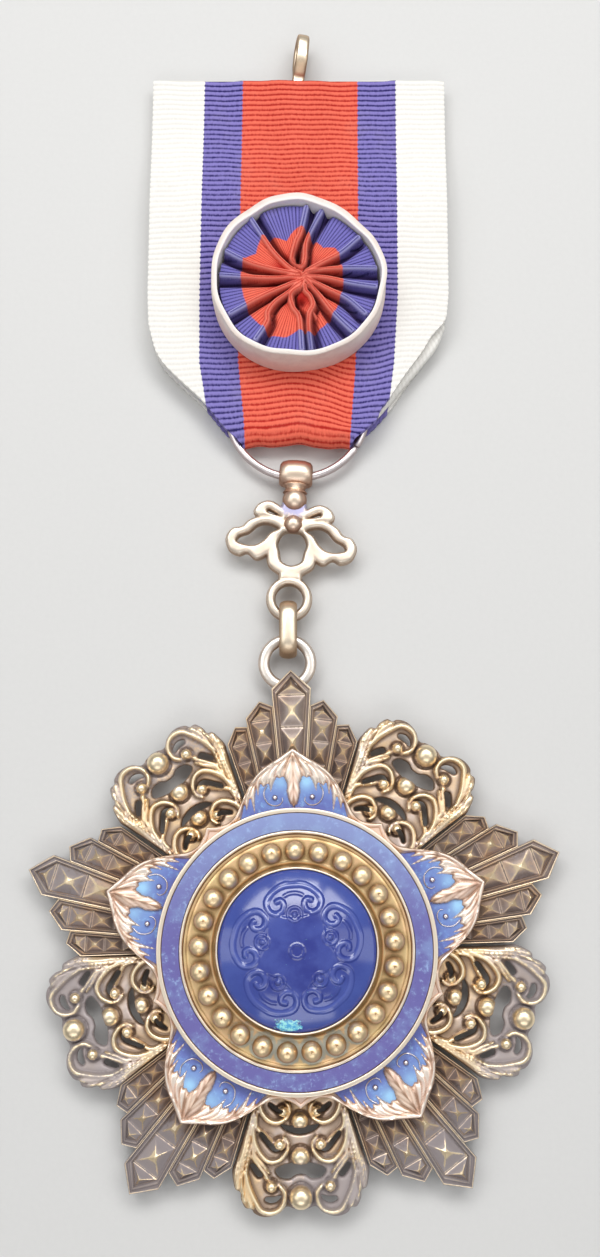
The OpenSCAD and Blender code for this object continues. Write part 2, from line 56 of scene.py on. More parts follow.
# how far each group of rays leans off its place, in degrees, from the top one round by the left
GROUP_LEAN = [0, 0.6, -0.5, -0.4, 0.3]
MEDAL_R, DOME_R = 15.35, 8.6
PLATE_LOW, PLATE_TOP = 3.35, 4.0


def turned(points, degrees, centre=(0, 0)):
    """Turns points about the upright axis and moves them: x' = x cos - y sin + cx, y' = x sin + y cos + cy."""
    p = np.array(points, float)
    c, s = math.cos(math.radians(degrees)), math.sin(math.radians(degrees))
    out = p.copy()
    out[..., 0] = p[..., 0] * c - p[..., 1] * s + centre[0]
    out[..., 1] = p[..., 0] * s + p[..., 1] * c + centre[1]
    return out


def on_star(points, degrees=0.0):
    """Puts points that are measured from the star's centre where the star lies."""
    return turned(points, STAR_TILT + degrees, (STAR_X, STAR_Y))


print("star centre in mm:", STAR_X, STAR_Y)

# %% [markdown]
# ## Camera and light
# The badge was photographed from almost straight above, from a little below its foot, at about 156 mm: the
# round medallion shows that as a slight oval. Soft boxes stand round the badge and leave dark gaps between
# them, because metal shows its form only where something dark is mirrored beside something bright.

# %% The camera
CAMERA_TILT, CAMERA_AWAY = math.radians(10.9), 156
AIM = np.array([0.62, -5.97, 0])
LENS, FILM_WIDTH, NEAREST = 37.87, 36, 0.01
place = AIM + CAMERA_AWAY * np.array([0, -math.sin(CAMERA_TILT), math.cos(CAMERA_TILT)])
put_in_scene = bpy.context.scene.collection.objects.link
camera = bpy.data.objects.new("camera", bpy.data.cameras.new("camera"))
camera.data.lens, camera.data.sensor_width, camera.data.clip_start = LENS, FILM_WIDTH, NEAREST
camera.location = place * MM
camera.rotation_euler = (CAMERA_TILT, 0, 0)
put_in_scene(camera)
bpy.context.scene.camera = camera
print("camera at mm:", place.round(1))

# %% The soft boxes


def soft_box(name, at, size, watts):
    """A rectangular light of that size at that place in mm, turned to the badge's middle."""
    lamp = bpy.data.lights.new(name, "AREA")
    lamp.shape = "RECTANGLE"
    lamp.size, lamp.size_y = size[0] * MM, size[1] * MM
    lamp.energy = watts
    box = bpy.data.objects.new(name, lamp)
    box.location = np.array(at) * MM
    box.rotation_euler = box.location.to_track_quat("Z", "Y").to_euler()
    put_in_scene(box)


bpy.context.scene.view_settings.view_transform = "Standard"
soft_box("north_box", (0, 290, 400), (270, 170), 0.98)
soft_box("north_west_box", (-215, 200, 400), (200, 170), 0.50)
soft_box("north_east_box", (215, 200, 400), (200, 170), 0.50)
soft_box("west_box", (-340, -30, 330), (180, 300), 0.22)
soft_box("east_box", (340, -30, 330), (180, 300), 0.20)
soft_box("south_box", (0, -380, 330), (420, 160), 0.42)

# %% The room, dark at the horizon and bright overhead
ROOM_DARK, ROOM_BRIGHT, ROOM_COLOUR = 0.12, 0.53, (0.97, 0.98, 1.0, 1)
world = bpy.data.worlds.new("room")
world.use_nodes = True
room = world.node_tree
up, fade = room.nodes.new("ShaderNodeSeparateXYZ"), room.nodes.new("ShaderNodeMapRange")
fade.inputs["To Min"].default_value, fade.inputs["To Max"].default_value = ROOM_DARK, ROOM_BRIGHT
room.links.new(room.nodes.new("ShaderNodeTexCoord").outputs["Generated"], up.inputs[0])
room.links.new(up.outputs["Z"], fade.inputs["Value"])
room.links.new(fade.outputs[0], room.nodes["Background"].inputs["Strength"])
room.nodes["Background"].inputs["Color"].default_value = ROOM_COLOUR
bpy.context.scene.world = world
print("room strength:", ROOM_DARK, "to", ROOM_BRIGHT)

# %% [markdown]
# ## Meshes out of arrays
# Nearly every piece is a surface over two parameters, so its points come in rows and columns. The faces between
# them follow from the size of the grid alone. Such a surface could be modelled by hand and then sculpted, but an
# array is written into the mesh in one go, and one changed number changes the whole surface.

# %% Faces of a grid, and grids put together


def grid_faces(rows, cols, ring_rows=False, ring_cols=False):
    """The four-sided faces of a grid of rows x cols points, joined end to end where a ring is asked for."""
    r = np.arange(rows - (not ring_rows))[:, None]
    c = np.arange(cols - (not ring_cols))[None, :]
    r2, c2 = (r + 1) % rows, (c + 1) % cols
    corners = np.broadcast_arrays(r * cols + c, r * cols + c2, r2 * cols + c2, r2 * cols + c)
    return np.stack(corners, -1).reshape(-1, 4)


def full_turn(steps):
    """That many angles, evenly round a full turn, from 0 on."""
    return np.linspace(0, 2 * np.pi, steps, endpoint=False)


def placed(x, y, z):
    """Points out of their coordinates, each array stretched to the size of the others."""
    return np.stack(np.broadcast_arrays(x, y, z), -1)


def joined(parts):
    """Several (points, faces) as one, each set of faces counted on from the points before it."""
    clouds = [np.reshape(p, (-1, 3)) for p, _ in parts]
    starts = np.cumsum([0] + [len(cloud) for cloud in clouds])
    faces = []
    for start, (_, some) in zip(starts, parts):
        faces += [np.asarray(block) + start for block in (some if isinstance(some, list) else [some])]
    return np.concatenate(clouds), faces


print("faces between 3 x 3 points:", grid_faces(3, 3).tolist())

# %% A piece of the badge
# in mm: points that close are one point, and an edge that short is taken out
SEAM, SPECK = 0.0004, 0.0001


def make_piece(name, points, faces, finish, nodes=(), slot=None, sharp=40, marks=None, uv=None):
    """Writes points in mm and faces into a mesh piece, which rides on the badge and stands for the nodes.

    marks are named values, one a point, that the finish reads, and each piece also gets the mark "up": how much
    a point faces upwards. uv is two values a point. sharp is the angle in degrees past which an edge stays crisp.
    """
    mesh = bpy.data.meshes.new(name)
    blocks = faces if isinstance(faces, list) else [faces]
    mesh.from_pydata(np.reshape(points, (-1, 3)) * MM, [], [f for b in blocks for f in np.asarray(b).tolist()])
    for mark, values in (marks or {}).items():
        layer = mesh.attributes.new(mark, "FLOAT", "POINT")
        layer.data.foreach_set("value", np.ravel(values).astype(np.float32))
    if uv is not None:
        corner = np.zeros(len(mesh.loops), np.int32)
        mesh.loops.foreach_get("vertex_index", corner)
        flat = np.reshape(uv, (-1, 2))[corner].astype(np.float32)
        mesh.uv_layers.new(name="cloth").data.foreach_set("uv", flat.ravel())
    work = bmesh.new()
    work.from_mesh(mesh)
    bmesh.ops.remove_doubles(work, verts=work.verts, dist=SEAM * MM)
    bmesh.ops.dissolve_degenerate(work, edges=work.edges, dist=SPECK * MM)
    bmesh.ops.recalc_face_normals(work, faces=work.faces)
    work.to_mesh(mesh)
    work.free()
    facing = np.zeros(len(mesh.vertices) * 3, np.float32)
    mesh.vertices.foreach_get("normal", facing)
    mesh.attributes.new("up", "FLOAT", "POINT").data.foreach_set("value", facing[2::3])
    mesh.shade_smooth()
    mesh.set_sharp_from_angle(angle=math.radians(sharp))
    piece = bpy.data.objects.new(name, mesh)
    put_in_scene(piece)
    mesh.materials.append(finish)
    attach(piece, "root")
    if nodes:
        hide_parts(*nodes)
    count = sum(len(p.vertices) - 2 for p in mesh.polygons)
    print(f"{name}: {count} triangles")
    return piece


print("points closer than", SEAM, "mm are merged")

# %% [markdown]
# ## Finishes written as sums
# Every surface of the badge is worn, tarnished or cloudy, and that is arithmetic: a mask, one minus it, a bit
# of noise. Shader nodes do that arithmetic, but a page of links is hard to read, so one small class stands
# for a socket and lets Python's own operators add the Math nodes.

# %% A socket with operators


class Value:
    """A socket of a finish. An expression on values adds the Math nodes for it, so 1 - mask works."""

    def __init__(self, finish, socket):
        self.finish, self.socket = finish, socket

    def math(self, operation, *others):
        """The result of that Math operation on this value and the others."""
        return self.finish.node("Math", {"operation": operation}, self, *others)

    def __add__(self, other):
        return self.math("ADD", other)

    def __sub__(self, other):
        return self.math("SUBTRACT", other)

    def __rsub__(self, other):
        return self.finish.node("Math", {"operation": "SUBTRACT"}, other, self)

    def __mul__(self, other):
        return self.math("MULTIPLY", other)

    __radd__, __rmul__ = __add__, __mul__

    def between(self, low, high):
        """0 at low, 1 at high, eased in between."""
        return self.finish.node("MapRange", {"interpolation_type": "SMOOTHSTEP"}, self, low, high)


print("a value answers to:", [name for name in vars(Value) if name.endswith(("add__", "sub__", "mul__"))])

# %% A finish, as a material with a place for sums


class Finish:
    """A material made of one shader and the nodes that feed it."""

    def __init__(self, name, **constants):
        self.material = bpy.data.materials.new(name)
        self.material.use_nodes = True
        self.tree = self.material.node_tree
        self.shader = self.tree.nodes["Principled BSDF"]
        self.feed(**constants)

    def put(self, socket, value):
        """Links a value to a socket, or sets a plain number or colour on it."""
        if isinstance(value, Value):
            self.tree.links.new(value.socket, socket)
        elif isinstance(value, (tuple, list)) and len(value) == 3 and socket.type == "RGBA":
            socket.default_value = (*value, 1)
        else:
            socket.default_value = value

    def node(self, kind, settings=None, *values, out=0, **named):
        """Adds a node of that kind: its settings first, then values or links for its sockets."""
        made = self.tree.nodes.new("ShaderNode" + kind)
        for key, setting in (settings or {}).items():
            setattr(made, key, setting)
        for socket, value in zip(made.inputs, values):
            self.put(socket, value)
        for key, value in named.items():
            self.put(made.inputs[key.replace("_", " ")], value)
        return Value(self, made.outputs[out])

    def feed(self, **sockets):
        """Sets or links sockets of the shader. An underscore in a name stands for a space."""
        for key, value in sockets.items():
            self.put(self.shader.inputs[key.replace("_", " ")], value)
        return self

    def mix(self, share, a, b, blend="MIX"):
        """The colour a, going over to b by share."""
        made = self.tree.nodes.new("ShaderNodeMix")
        made.data_type, made.blend_type = "RGBA", blend
        for index, value in ((0, share), (6, a), (7, b)):
            self.put(made.inputs[index], value)
        return Value(self, made.outputs[2])

    def stretched(self, vector, by):
        """A vector with each coordinate multiplied by its own number."""
        return self.node("VectorMath", {"operation": "MULTIPLY"}, vector, by)

    def place(self):
        """Object coordinates in millimetres."""
        return self.stretched(self.node("TexCoord", out="Object"), (1 / MM,) * 3)

    def axis(self, letter, vector=None):
        """One coordinate of the place in millimetres, or of another vector."""
        return self.node("SeparateXYZ", None, vector or self.place(), out=letter)

    def mark(self, name):
        """A named value that make_piece wrote on the piece's points."""
        return self.node("Attribute", {"attribute_name": name}, out="Fac")

    def noise(self, size, detail=3.0, rough=0.5, where=None):
        """Cloudy noise from 0 to 1 whose lumps are about that size in mm."""
        return self.node("TexNoise", None, Vector=where or self.place(), Scale=1 / size, Detail=detail,
                         Roughness=rough)

    def bump(self, tall, strength=1.0):
        """Feeds a height in millimetres to the shader's normal."""
        self.feed(Normal=self.node("Bump", None, Strength=strength, Distance=MM, Height=tall))
        return self


print("a finish can add:", [name for name in vars(Finish) if not name.startswith("_")])

# %% [markdown]
# ## The metals
# The badge is silver that was gilded and has worn and darkened for a century. High places are rubbed bright,
# hollows hold brown tarnish, and the gilding is pinker where copper shows. All of that hangs on one measure
# that each relief piece carries: how far a point stands above the points round it, in millimetres. It feeds
# the colour and the roughness, while a fine noise adds pores and a slow one adds stains. Painted light rides
# on that measure too: glints on the rays, shade round the beads' feet and a lighter north petal. Pieces
# without the measure are painted lighter where they face up and darker on their flanks, which is painted
# light and shade as well as wear and tarnish.

# %% A worn metal


def worn_metal(name, rubbed, middle, hollow, by=None, reach=0.1, rough=(0.2, 0.42), pores=0.006, other=None, spread=2.6,
               level=0.74, stain=None):
    """A cast and gilded metal: hollow, middle and rubbed are its colours from the hollows to the high places.

    by is the mark for how far a point stands proud, in mm, and reach is how far is bright. Without it, faces that
    look up take the rubbed colour, as wear and as painted light from above, and flanks take the hollow colour, as
    tarnish and as painted shade, about the upward share level. other is a second middle colour, in clouds of the
    size spread. stain is a mark, its colour, and how much of it is still metal.
    """
    metal = Finish(name, Metallic=1.0)
    cloud = metal.noise(spread, 5, 0.6)
    fine = metal.noise(0.16, 3, 0.6)
    # with no mark, a face that looks up counts as proud: painted light on tops and painted shade on flanks, with wear
    # and tarnish
    proud = (metal.mark(by) if by else (metal.mark("up") - level) * 0.36) + (fine - 0.5) * 0.06
    tarnish_and_shade = 1 - proud.between(-reach * 0.9, reach * 0.15)
    wear_and_highlight = proud.between(0.0, reach) * 0.85 + cloud.between(0.45, 0.75) * 0.15
    body = metal.mix(cloud.between(0.35, 0.65), middle, other or tuple(c * 0.78 for c in middle))
    body = metal.mix(tarnish_and_shade * 0.9, body, hollow)
    body = metal.mix(wear_and_highlight, body, rubbed)
    if stain:
        spot = (metal.mark(stain[0]) + (metal.noise(0.45, 4, 0.7) - 0.5) * 0.9).between(0.35, 0.7) * 0.85
        body = metal.mix(spot, body, stain[1])
        metal.feed(Metallic=1 - spot * (1 - stain[2]))
        tarnish_and_shade = tarnish_and_shade + spot * 0.4
    metal.feed(Base_Color=body)
    metal.feed(Roughness=rough[1] - wear_and_highlight * (rough[1] - rough[0]) + tarnish_and_shade * 0.16 + fine * 0.06)
    pits = metal.node("TexVoronoi", {"feature": "F1"}, Vector=metal.place(), Scale=5.5).between(0.0, 0.22)
    metal.bump(fine * pores + pits * pores * 1.6 + metal.noise(0.7, 2) * pores * 2)
    return metal.material


print("a worn metal is three colours, from the hollows to the high places")

# %% The metals of the badge
# The rim, bead, silver, ring, link and copper metals have no proud mark: their tops are painted lighter and their
# flanks darker, painted light and shade along with wear and tarnish.
rays_metal = worn_metal("worn_silver_gilt", (1.0, 0.82, 0.54), (0.63, 0.465, 0.345), (0.20, 0.16, 0.155), by="proud",
                        reach=0.14, rough=(0.35, 0.48), other=(0.48, 0.41, 0.40), spread=5,
                        stain=("haze", (0.30, 0.265, 0.27), 0.22))
cloud_metal = worn_metal("yellow_gilt", (1.0, 0.84, 0.57), (0.90, 0.65, 0.37), (0.28, 0.20, 0.15), by="proud",
                         reach=0.22, rough=(0.3, 0.44), other=(0.68, 0.58, 0.56), spread=6,
                         stain=("haze", (0.36, 0.32, 0.325), 0.3))
petal_metal = worn_metal("pink_gilt", (0.99, 0.88, 0.77), (0.86, 0.66, 0.52), (0.40, 0.25, 0.17), by="proud",
                         reach=0.13, rough=(0.36, 0.48), pores=0.003, other=(0.80, 0.57, 0.46))
rim_metal = worn_metal("rim_gilt", (1.0, 0.89, 0.72), (0.94, 0.74, 0.55), (0.74, 0.54, 0.36), rough=(0.34, 0.42),
                       pores=0.002, level=0.68, other=(0.86, 0.66, 0.58), spread=5)
tray_metal = worn_metal("tray_gilt", (1.0, 0.82, 0.47), (0.88, 0.66, 0.34), (0.38, 0.26, 0.12), by="proud", reach=0.12,
                        rough=(0.3, 0.42), other=(0.90, 0.60, 0.34), stain=("crust", (0.46, 0.50, 0.44), 0.1))
bead_metal = worn_metal("bead_gilt", (0.98, 0.77, 0.48), (0.86, 0.60, 0.35), (0.44, 0.28, 0.14), rough=(0.36, 0.46),
                        level=0.5)
silver_metal = worn_metal("worn_silver", (0.98, 0.92, 0.90), (0.76, 0.66, 0.65), (0.44, 0.35, 0.35), reach=0.2,
                          rough=(0.24, 0.38), level=0.64)
trefoil_metal = worn_metal("pale_gilt", (1.0, 0.92, 0.79), (0.88, 0.73, 0.59), (0.40, 0.28, 0.20), by="proud",
                           reach=0.2, rough=(0.26, 0.42), stain=("violet", (0.36, 0.36, 0.58), 0.7))
ring_metal = worn_metal("ring_gilt", (1.0, 0.95, 0.87), (0.88, 0.74, 0.63), (0.38, 0.27, 0.2), reach=0.22,
                        rough=(0.24, 0.38), level=0.6)
link_metal = worn_metal("link_gilt", (1.0, 0.87, 0.68), (0.80, 0.60, 0.41), (0.38, 0.26, 0.17), rough=(0.32, 0.42))
copper_metal = worn_metal("copper_gilt", (0.98, 0.80, 0.63), (0.74, 0.50, 0.36), (0.34, 0.2, 0.14), rough=(0.32, 0.42),
                          level=0.66, other=(0.62, 0.42, 0.33))
print("metals:", [m.name for m in bpy.data.materials])

# %% [markdown]
# ## Enamel
# Enamel is coloured glass melted into a tray of metal. It looks deep, because light goes through the glass to
# the metal and back, and glossy, because its skin is fire-polished. A coloured base with a clear coat gives
# both without tracing glass. The glass is cloudy, so slow noise drifts between a violet and a sky blue.

# %% An enamel


def enamel(name, deep, light, bright, light_share=(0.42, 0.72), cloud_size=2.2, mark=None, north_highlight=0.0):
    """A clouded glass over metal. mark is a value that takes the glass towards bright, and so does north_highlight by
    the place: a painted highlight, up to that share at the north of the medallion."""
    glass = Finish(name, Metallic=0.0, Roughness=0.2, Coat_Weight=0.7, Coat_Roughness=0.12, IOR=1.45,
                   Specular_IOR_Level=0.2)
    drift = glass.noise(cloud_size, 4, 0.6)
    veins = glass.noise(0.55, 4, 0.7)
    body = glass.mix(drift.between(*light_share), deep, light)
    body = glass.mix(veins.between(0.54, 0.74) * 0.6, body, bright)
    specks = glass.noise(0.13, 2, 0.5).between(0.66, 0.74)
    body = glass.mix(specks * 0.35, body, tuple(c * 0.35 for c in deep))
    if mark:
        body = glass.mix(glass.mark(mark), body, bright)
    # painted highlight: the glass is painted paler towards the north of the medallion
    north = glass.axis("Y").between(STAR_Y, STAR_Y + MEDAL_R)
    body = glass.mix(north * north_highlight, body, bright)
    glass.feed(Base_Color=body)
    glass.bump(drift * 0.05 + veins * 0.01)
    return glass.material


petal_glass = enamel("petal_enamel", (0.13, 0.16, 0.47), (0.17, 0.27, 0.61), (0.34, 0.60, 0.86), mark="lit")
ring_glass = enamel("ring_enamel", (0.145, 0.132, 0.375), (0.20, 0.25, 0.50), (0.38, 0.52, 0.80), north_highlight=0.45)
print("glasses:", petal_glass.name, ring_glass.name)

# %% [markdown]
# ## Round parts, turned on a lathe
# The medallion is a stack of round parts: the tray with its three rims, the enamel ring, the plate under the
# beads, the beads and the dome's collar. A lathe turns one outline about the axis, so each is a grid of the
# outline's points times the steps of the turn, and only the outline has to be drawn.

# %% Turning an outline


def rounded(corners, radius, steps=4, closed=True):
    """Replaces each corner with steps points of a short bend: corner + arm_in (1-t)^2 + arm_out t^2."""
    c = np.array(corners, float)
    before, after = np.roll(c, 1, 0) - c, np.roll(c, -1, 0) - c
    reach = [np.minimum(radius, 0.45 * np.linalg.norm(arm, axis=1)) for arm in (before, after)]
    arms = [arm / np.linalg.norm(arm, axis=1)[:, None] * r[:, None] for arm, r in zip((before, after), reach)]
    t = np.linspace(0, 1, steps)[None, :, None]
    bends = c[:, None] + arms[0][:, None] * (1 - t) ** 2 + arms[1][:, None] * t ** 2
    out = bends.reshape(-1, 2)
    return out if closed else np.vstack([c[:1], out[steps:-steps], c[-1:]])


def lathe(outline, steps=288, closed=True, centre=(STAR_X, STAR_Y)):
    """The point (r, z) of the outline at the angle a goes to (cx + r cos a, cy + r sin a, z)."""
    r, z = np.array(outline, float).T[:, :, None]
    a = full_turn(steps)[None]
    points = placed(centre[0] + r * np.cos(a), centre[1] + r * np.sin(a), z)
    return points, grid_faces(len(r), steps, closed, True)


print("a turned part has", lathe([(1, 0), (1, 1), (2, 0)])[0].shape[1], "steps round the axis")

# %% The tray with its three rims, and the enamel ring
RIMS_TOP, RIMS_FLOOR, RIMS_LOW = 5.4, 4.6, 4.1
ENAMEL_OUT, ENAMEL_IN, TRAY_R = MEDAL_R - 0.55, MEDAL_R - 2.45, MEDAL_R - 2.9
# the tray's hole, how far a rim's flank leans, and how far an underside stays off the floor that it lies on
HOLE_R, DRAFT, CLEAR = 0.5, 0.05, 0.05
rims_outline = [(HOLE_R, RIMS_LOW), (MEDAL_R, RIMS_LOW), (MEDAL_R, RIMS_TOP), (ENAMEL_OUT + DRAFT, RIMS_TOP),
                (ENAMEL_OUT, RIMS_FLOOR), (ENAMEL_IN, RIMS_FLOOR), (ENAMEL_IN - DRAFT, RIMS_TOP),
                (TRAY_R + 0.08, RIMS_TOP), (TRAY_R, RIMS_FLOOR), (HOLE_R, RIMS_FLOOR)]
points, faces = lathe(rounded(rims_outline, radius=0.13, steps=5))
make_piece("medallion_tray", points, faces, rim_metal, ["medallion_rims"], "pale_gilt", sharp=60)

# the glass stands a little below the rims and is highest in the middle, as melted glass is
GLASS_BELOW, GLASS_HUMP, SIDE_GAP = 0.17, 0.09, 0.02
r = np.linspace(ENAMEL_IN + SIDE_GAP, ENAMEL_OUT - SIDE_GAP, 10)
hump = GLASS_HUMP * (1 - ((r - r.mean()) / (r[-1] - r.mean())) ** 2)
top = np.stack([r, RIMS_TOP - GLASS_BELOW + hump], 1)
points, faces = lathe(np.vstack([[(r[0], RIMS_FLOOR + CLEAR)], top, [(r[-1], RIMS_FLOOR + CLEAR)]]))
make_piece("enamel_band", points, faces, ring_glass, ["enamel_ring"], "ring_enamel")

# %% The plate under the beads, with grooves at its edges


def bell(distance, width, power=2):
    """e to the minus (distance / width)^power: 1 at no distance, and nearly 0 past twice the width."""
    return np.exp(-((distance / width) ** power))


BEAD_FLOOR, BEAD_R, BEAD_RING_R, BEADS = 5.0, 1.12, 10.66, 25
BEAD_PLATE_IN, TURN_STEPS = 8.2, 400
r = np.linspace(BEAD_PLATE_IN, TRAY_R - 0.03, 40)
ring_r = r[:, None]
a = full_turn(TURN_STEPS)
away = np.abs((a * BEADS / (2 * np.pi) + 0.5) % 1 - 0.5) * 2 * np.pi / BEADS * BEAD_RING_R
seat = np.hypot(away[None], ring_r - BEAD_RING_R)
# an outer groove, an inner groove with a ridge beside it, and a shallow seat under each bead
OUTER_GROOVE_R, INNER_GROOVE_R, INNER_RIDGE_R = 12.08, 9.12, 9.5
lift = -0.07 * bell(ring_r - OUTER_GROOVE_R, 0.09) - 0.14 * bell(ring_r - INNER_GROOVE_R, 0.14)
lift = lift + 0.06 * bell(ring_r - INNER_RIDGE_R, 0.14) - 0.06 * bell(seat, 0.8)
points, faces = lathe(np.vstack([np.stack([r, r * 0 + BEAD_FLOOR], 1), [(r[-1], RIMS_FLOOR + CLEAR)],
                                 [(BEAD_PLATE_IN, RIMS_FLOOR + CLEAR)]]), TURN_STEPS)
points[:len(r), :, 2] += lift
proud, crust = np.zeros(points.shape[:2]), np.zeros(points.shape[:2])
# the proud mark follows the grooves, and dips in a ring round each bead's foot: painted shade under the beads
proud[:len(r)] = lift + 0.02 - 0.10 * bell(seat - 1.05, 0.35)
crust[:len(r)] = bell(a - np.pi, 0.85, 4) * bell(seat - 1.25, 0.4) * 0.75
points[..., :2] = turned(points[..., :2] - [STAR_X, STAR_Y], 90 + STAR_TILT, (STAR_X, STAR_Y))
make_piece("bead_tray", points, faces, tray_metal, ["bead_plate"], "bead_gilt",
           marks={"proud": proud, "crust": crust})

# %% Twenty-five beads, each a little out of round and out of place


def ball(rows, steps):
    """A ball of radius 1: (sin u cos v, sin u sin v, cos u), u from pole to pole and v round the axis. Also u, v."""
    u, v = np.linspace(0, np.pi, rows)[:, None], full_turn(steps)[None]
    return placed(np.sin(u) * np.cos(v), np.sin(u) * np.sin(v), np.cos(u)), u, v


globe, u, v = ball(19, 32)
k = np.arange(BEADS)[:, None, None]
dice = np.random.default_rng(7)
uneven = 1 + 0.012 * np.sin(2 * v + 1.7 * k) + 0.01 * np.cos(3 * u + k)
shells = BEAD_R * uneven[..., None] * globe
across, along = dice.normal(0, 0.035, (2, BEADS, 1, 1))
bead_angle = np.pi / 2 + math.radians(STAR_TILT) + k * 2 * np.pi / BEADS + along / BEAD_RING_R
shells[..., 0] += STAR_X + (BEAD_RING_R + across) * np.cos(bead_angle)
shells[..., 1] += STAR_Y + (BEAD_RING_R + across) * np.sin(bead_angle)
shells[..., 2] += BEAD_FLOOR + 0.1 + BEAD_R
parts = [(shell, grid_faces(*shell.shape[:2], False, True)) for shell in shells]
make_piece("beads", *joined(parts), bead_metal, [f"bead_{i:02d}" for i in range(1, BEADS + 1)], "bead_gilt")

# %% The collar round the dome
COLLAR_TOP = 6.16
collar = rounded([(DOME_R + 0.02, BEAD_FLOOR + CLEAR), (DOME_R + 0.34, BEAD_FLOOR + CLEAR),
                  (DOME_R + 0.27, COLLAR_TOP), (DOME_R + 0.05, COLLAR_TOP)], radius=0.14, steps=5)
make_piece("dome_collar", *lathe(collar), rim_metal, ["dome_rim"], "bead_gilt", sharp=70)

# %% [markdown]
# ## The dome
# The middle of the star is a domed cobalt glass with five cloud scrolls standing in low relief round a small
# ring. The scrolls could be painted by a bump, but a raking light would not show them and the mesh would stay
# smooth, so the dome is a polar grid whose height is a cap of a sphere plus the relief. A scroll is drawn once, as
# strokes beside its own axis; folding the angle into one fifth of the turn repeats it five times.

# %% Smooth lines, and how far a place is from them


def smooth_path(points, per=8, closed=False):
    """A Catmull-Rom curve: 0.5 (2b + (c-a)t + (2a-5b+4c-d)t^2 + (3b-a-3c+d)t^3) between each two points."""
    p = np.array(points, float)
    ends = (p[-1:], p[:2]) if closed else (2 * p[:1] - p[1:2], 2 * p[-1:] - p[-2:-1])
    p = np.vstack([ends[0], p, ends[1]])
    a, b, c, d = (p[i:len(p) - 3 + i, None] for i in range(4))
    t = np.linspace(0, 1, per, endpoint=False)[None, :, None]
    curve = 0.5 * (2 * b + (c - a) * t + (2 * a - 5 * b + 4 * c - d) * t**2 + (3 * b - a - 3 * c + d) * t**3)
    curve = curve.reshape(-1, p.shape[1])
    return curve if closed else np.vstack([curve, p[-2:-1]])


def to_pieces(x, y, a, b):
    """How far each place is from each straight piece a to b, and the share of the piece where it is nearest.

    The share is (place - a) . (b - a) / |b - a|^2, held between 0 and 1.
    """
    step = b - a
    x, y = x[..., None] - a[:, 0], y[..., None] - a[:, 1]
    share = np.clip((x * step[:, 0] + y * step[:, 1]) / (step**2).sum(1), 0, 1)
    return np.hypot(x - share * step[:, 0], y - share * step[:, 1]), share


print("points of a smooth line through three:", len(smooth_path([(0, 0), (1, 0), (1, 1)])))

# %% Raised strokes, folding and easing


def half_round(away, half):
    """The height of a round bar of that half width: sqrt(1 - (away / half)^2), and 0 beside it."""
    return np.sqrt(np.clip(1 - (away / half) ** 2, 0, None))


def stroke(x, y, path, width, tall, tip_width=None):
    """A raised stroke along a path, tall times a round bar whose half width goes from width to tip_width."""
    line = smooth_path(path, 6)
    away, along = to_pieces(x, y, line[:-1], line[1:])
    share = (np.arange(len(line) - 1) + along) / (len(line) - 1)
    half = width + ((width if tip_width is None else tip_width) - width) * share
    return tall * half_round(away, half).max(-1)


def strokes(x, y, paths, width, tip_width):
    """The highest of several strokes, each 1 tall."""
    return np.maximum.reduce([stroke(x, y, path, width, 1, tip_width) for path in paths])


def folded(x, y, axis, folds=5):
    """The place beside the nearest of the axes that start at that angle: sideways, and out from the middle."""
    r, a = np.hypot(x, y), np.degrees(np.arctan2(y, x)) - axis
    fold = 360 / folds
    a = np.radians((a + fold / 2) % fold - fold / 2)
    return -r * np.sin(a), r * np.cos(a)


def eased(t):
    """3t^2 - 2t^3 with t held between 0 and 1."""
    t = np.clip(t, 0, 1)
    return t * t * (3 - 2 * t)


print("a stroke is 1 high on its line and 0 beside it:", stroke(np.array([0, 9]), np.zeros(2), [(0, -1), (0, 1)], 1, 1))

# %% The scrolls on the dome
# the direction of the first scroll, in degrees, then paths beside its axis
SCROLL_AXIS = 94
scroll = [(0, 7.0), (1.0, 6.93), (2.0, 6.5), (2.75, 5.75), (2.95, 5.0), (2.6, 4.25), (1.95, 4.0), (1.3, 4.3),
          (1.1, 4.95), (1.4, 5.4), (1.85, 5.3)]
inner_arc = [(0, 6.1), (0.5, 6.05), (0.95, 5.85)]
DOME_ROWS, DOME_STEPS = 116, 480
r = np.linspace(0, 1, DOME_ROWS)[:, None] ** 0.8 * DOME_R
a = full_turn(DOME_STEPS)[None]
x, y = r * np.cos(a), r * np.sin(a)
side, out = folded(x, y, SCROLL_AXIS)
beside = np.abs(side)
lines = np.maximum(stroke(beside, out, scroll, 0.4, tall=1.0, tip_width=0.34),
                   stroke(beside, out, inner_arc, 0.24, tall=0.6))
# at the foot of each scroll a small ring round a dot, and one ring in the middle of the dome
SPOT_AT = 3.85
SPOT_RING, SPOT_DOT, MIDDLE_RING = (0.76, 0.19, 0.8), (0, 0.36, 1.4), (0.72, 0.24, 0.8)
spot = np.hypot(side, out - SPOT_AT)
for away, (radius, half, tall) in ((spot, SPOT_RING), (spot, SPOT_DOT), (r, MIDDLE_RING)):
    lines = np.maximum(lines, half_round(away - radius, half) * tall)
# each scroll lies in an oval bed
BED_HALF, BED_AT, BED_LONG, BED_FADE = 3.3, 5.4, 2.05, 0.16
bed = eased((np.hypot(side / BED_HALF, (out - BED_AT) / BED_LONG) - 1) / -BED_FADE)
print("the highest stroke stands", lines.max().round(2), "times as high as a scroll")

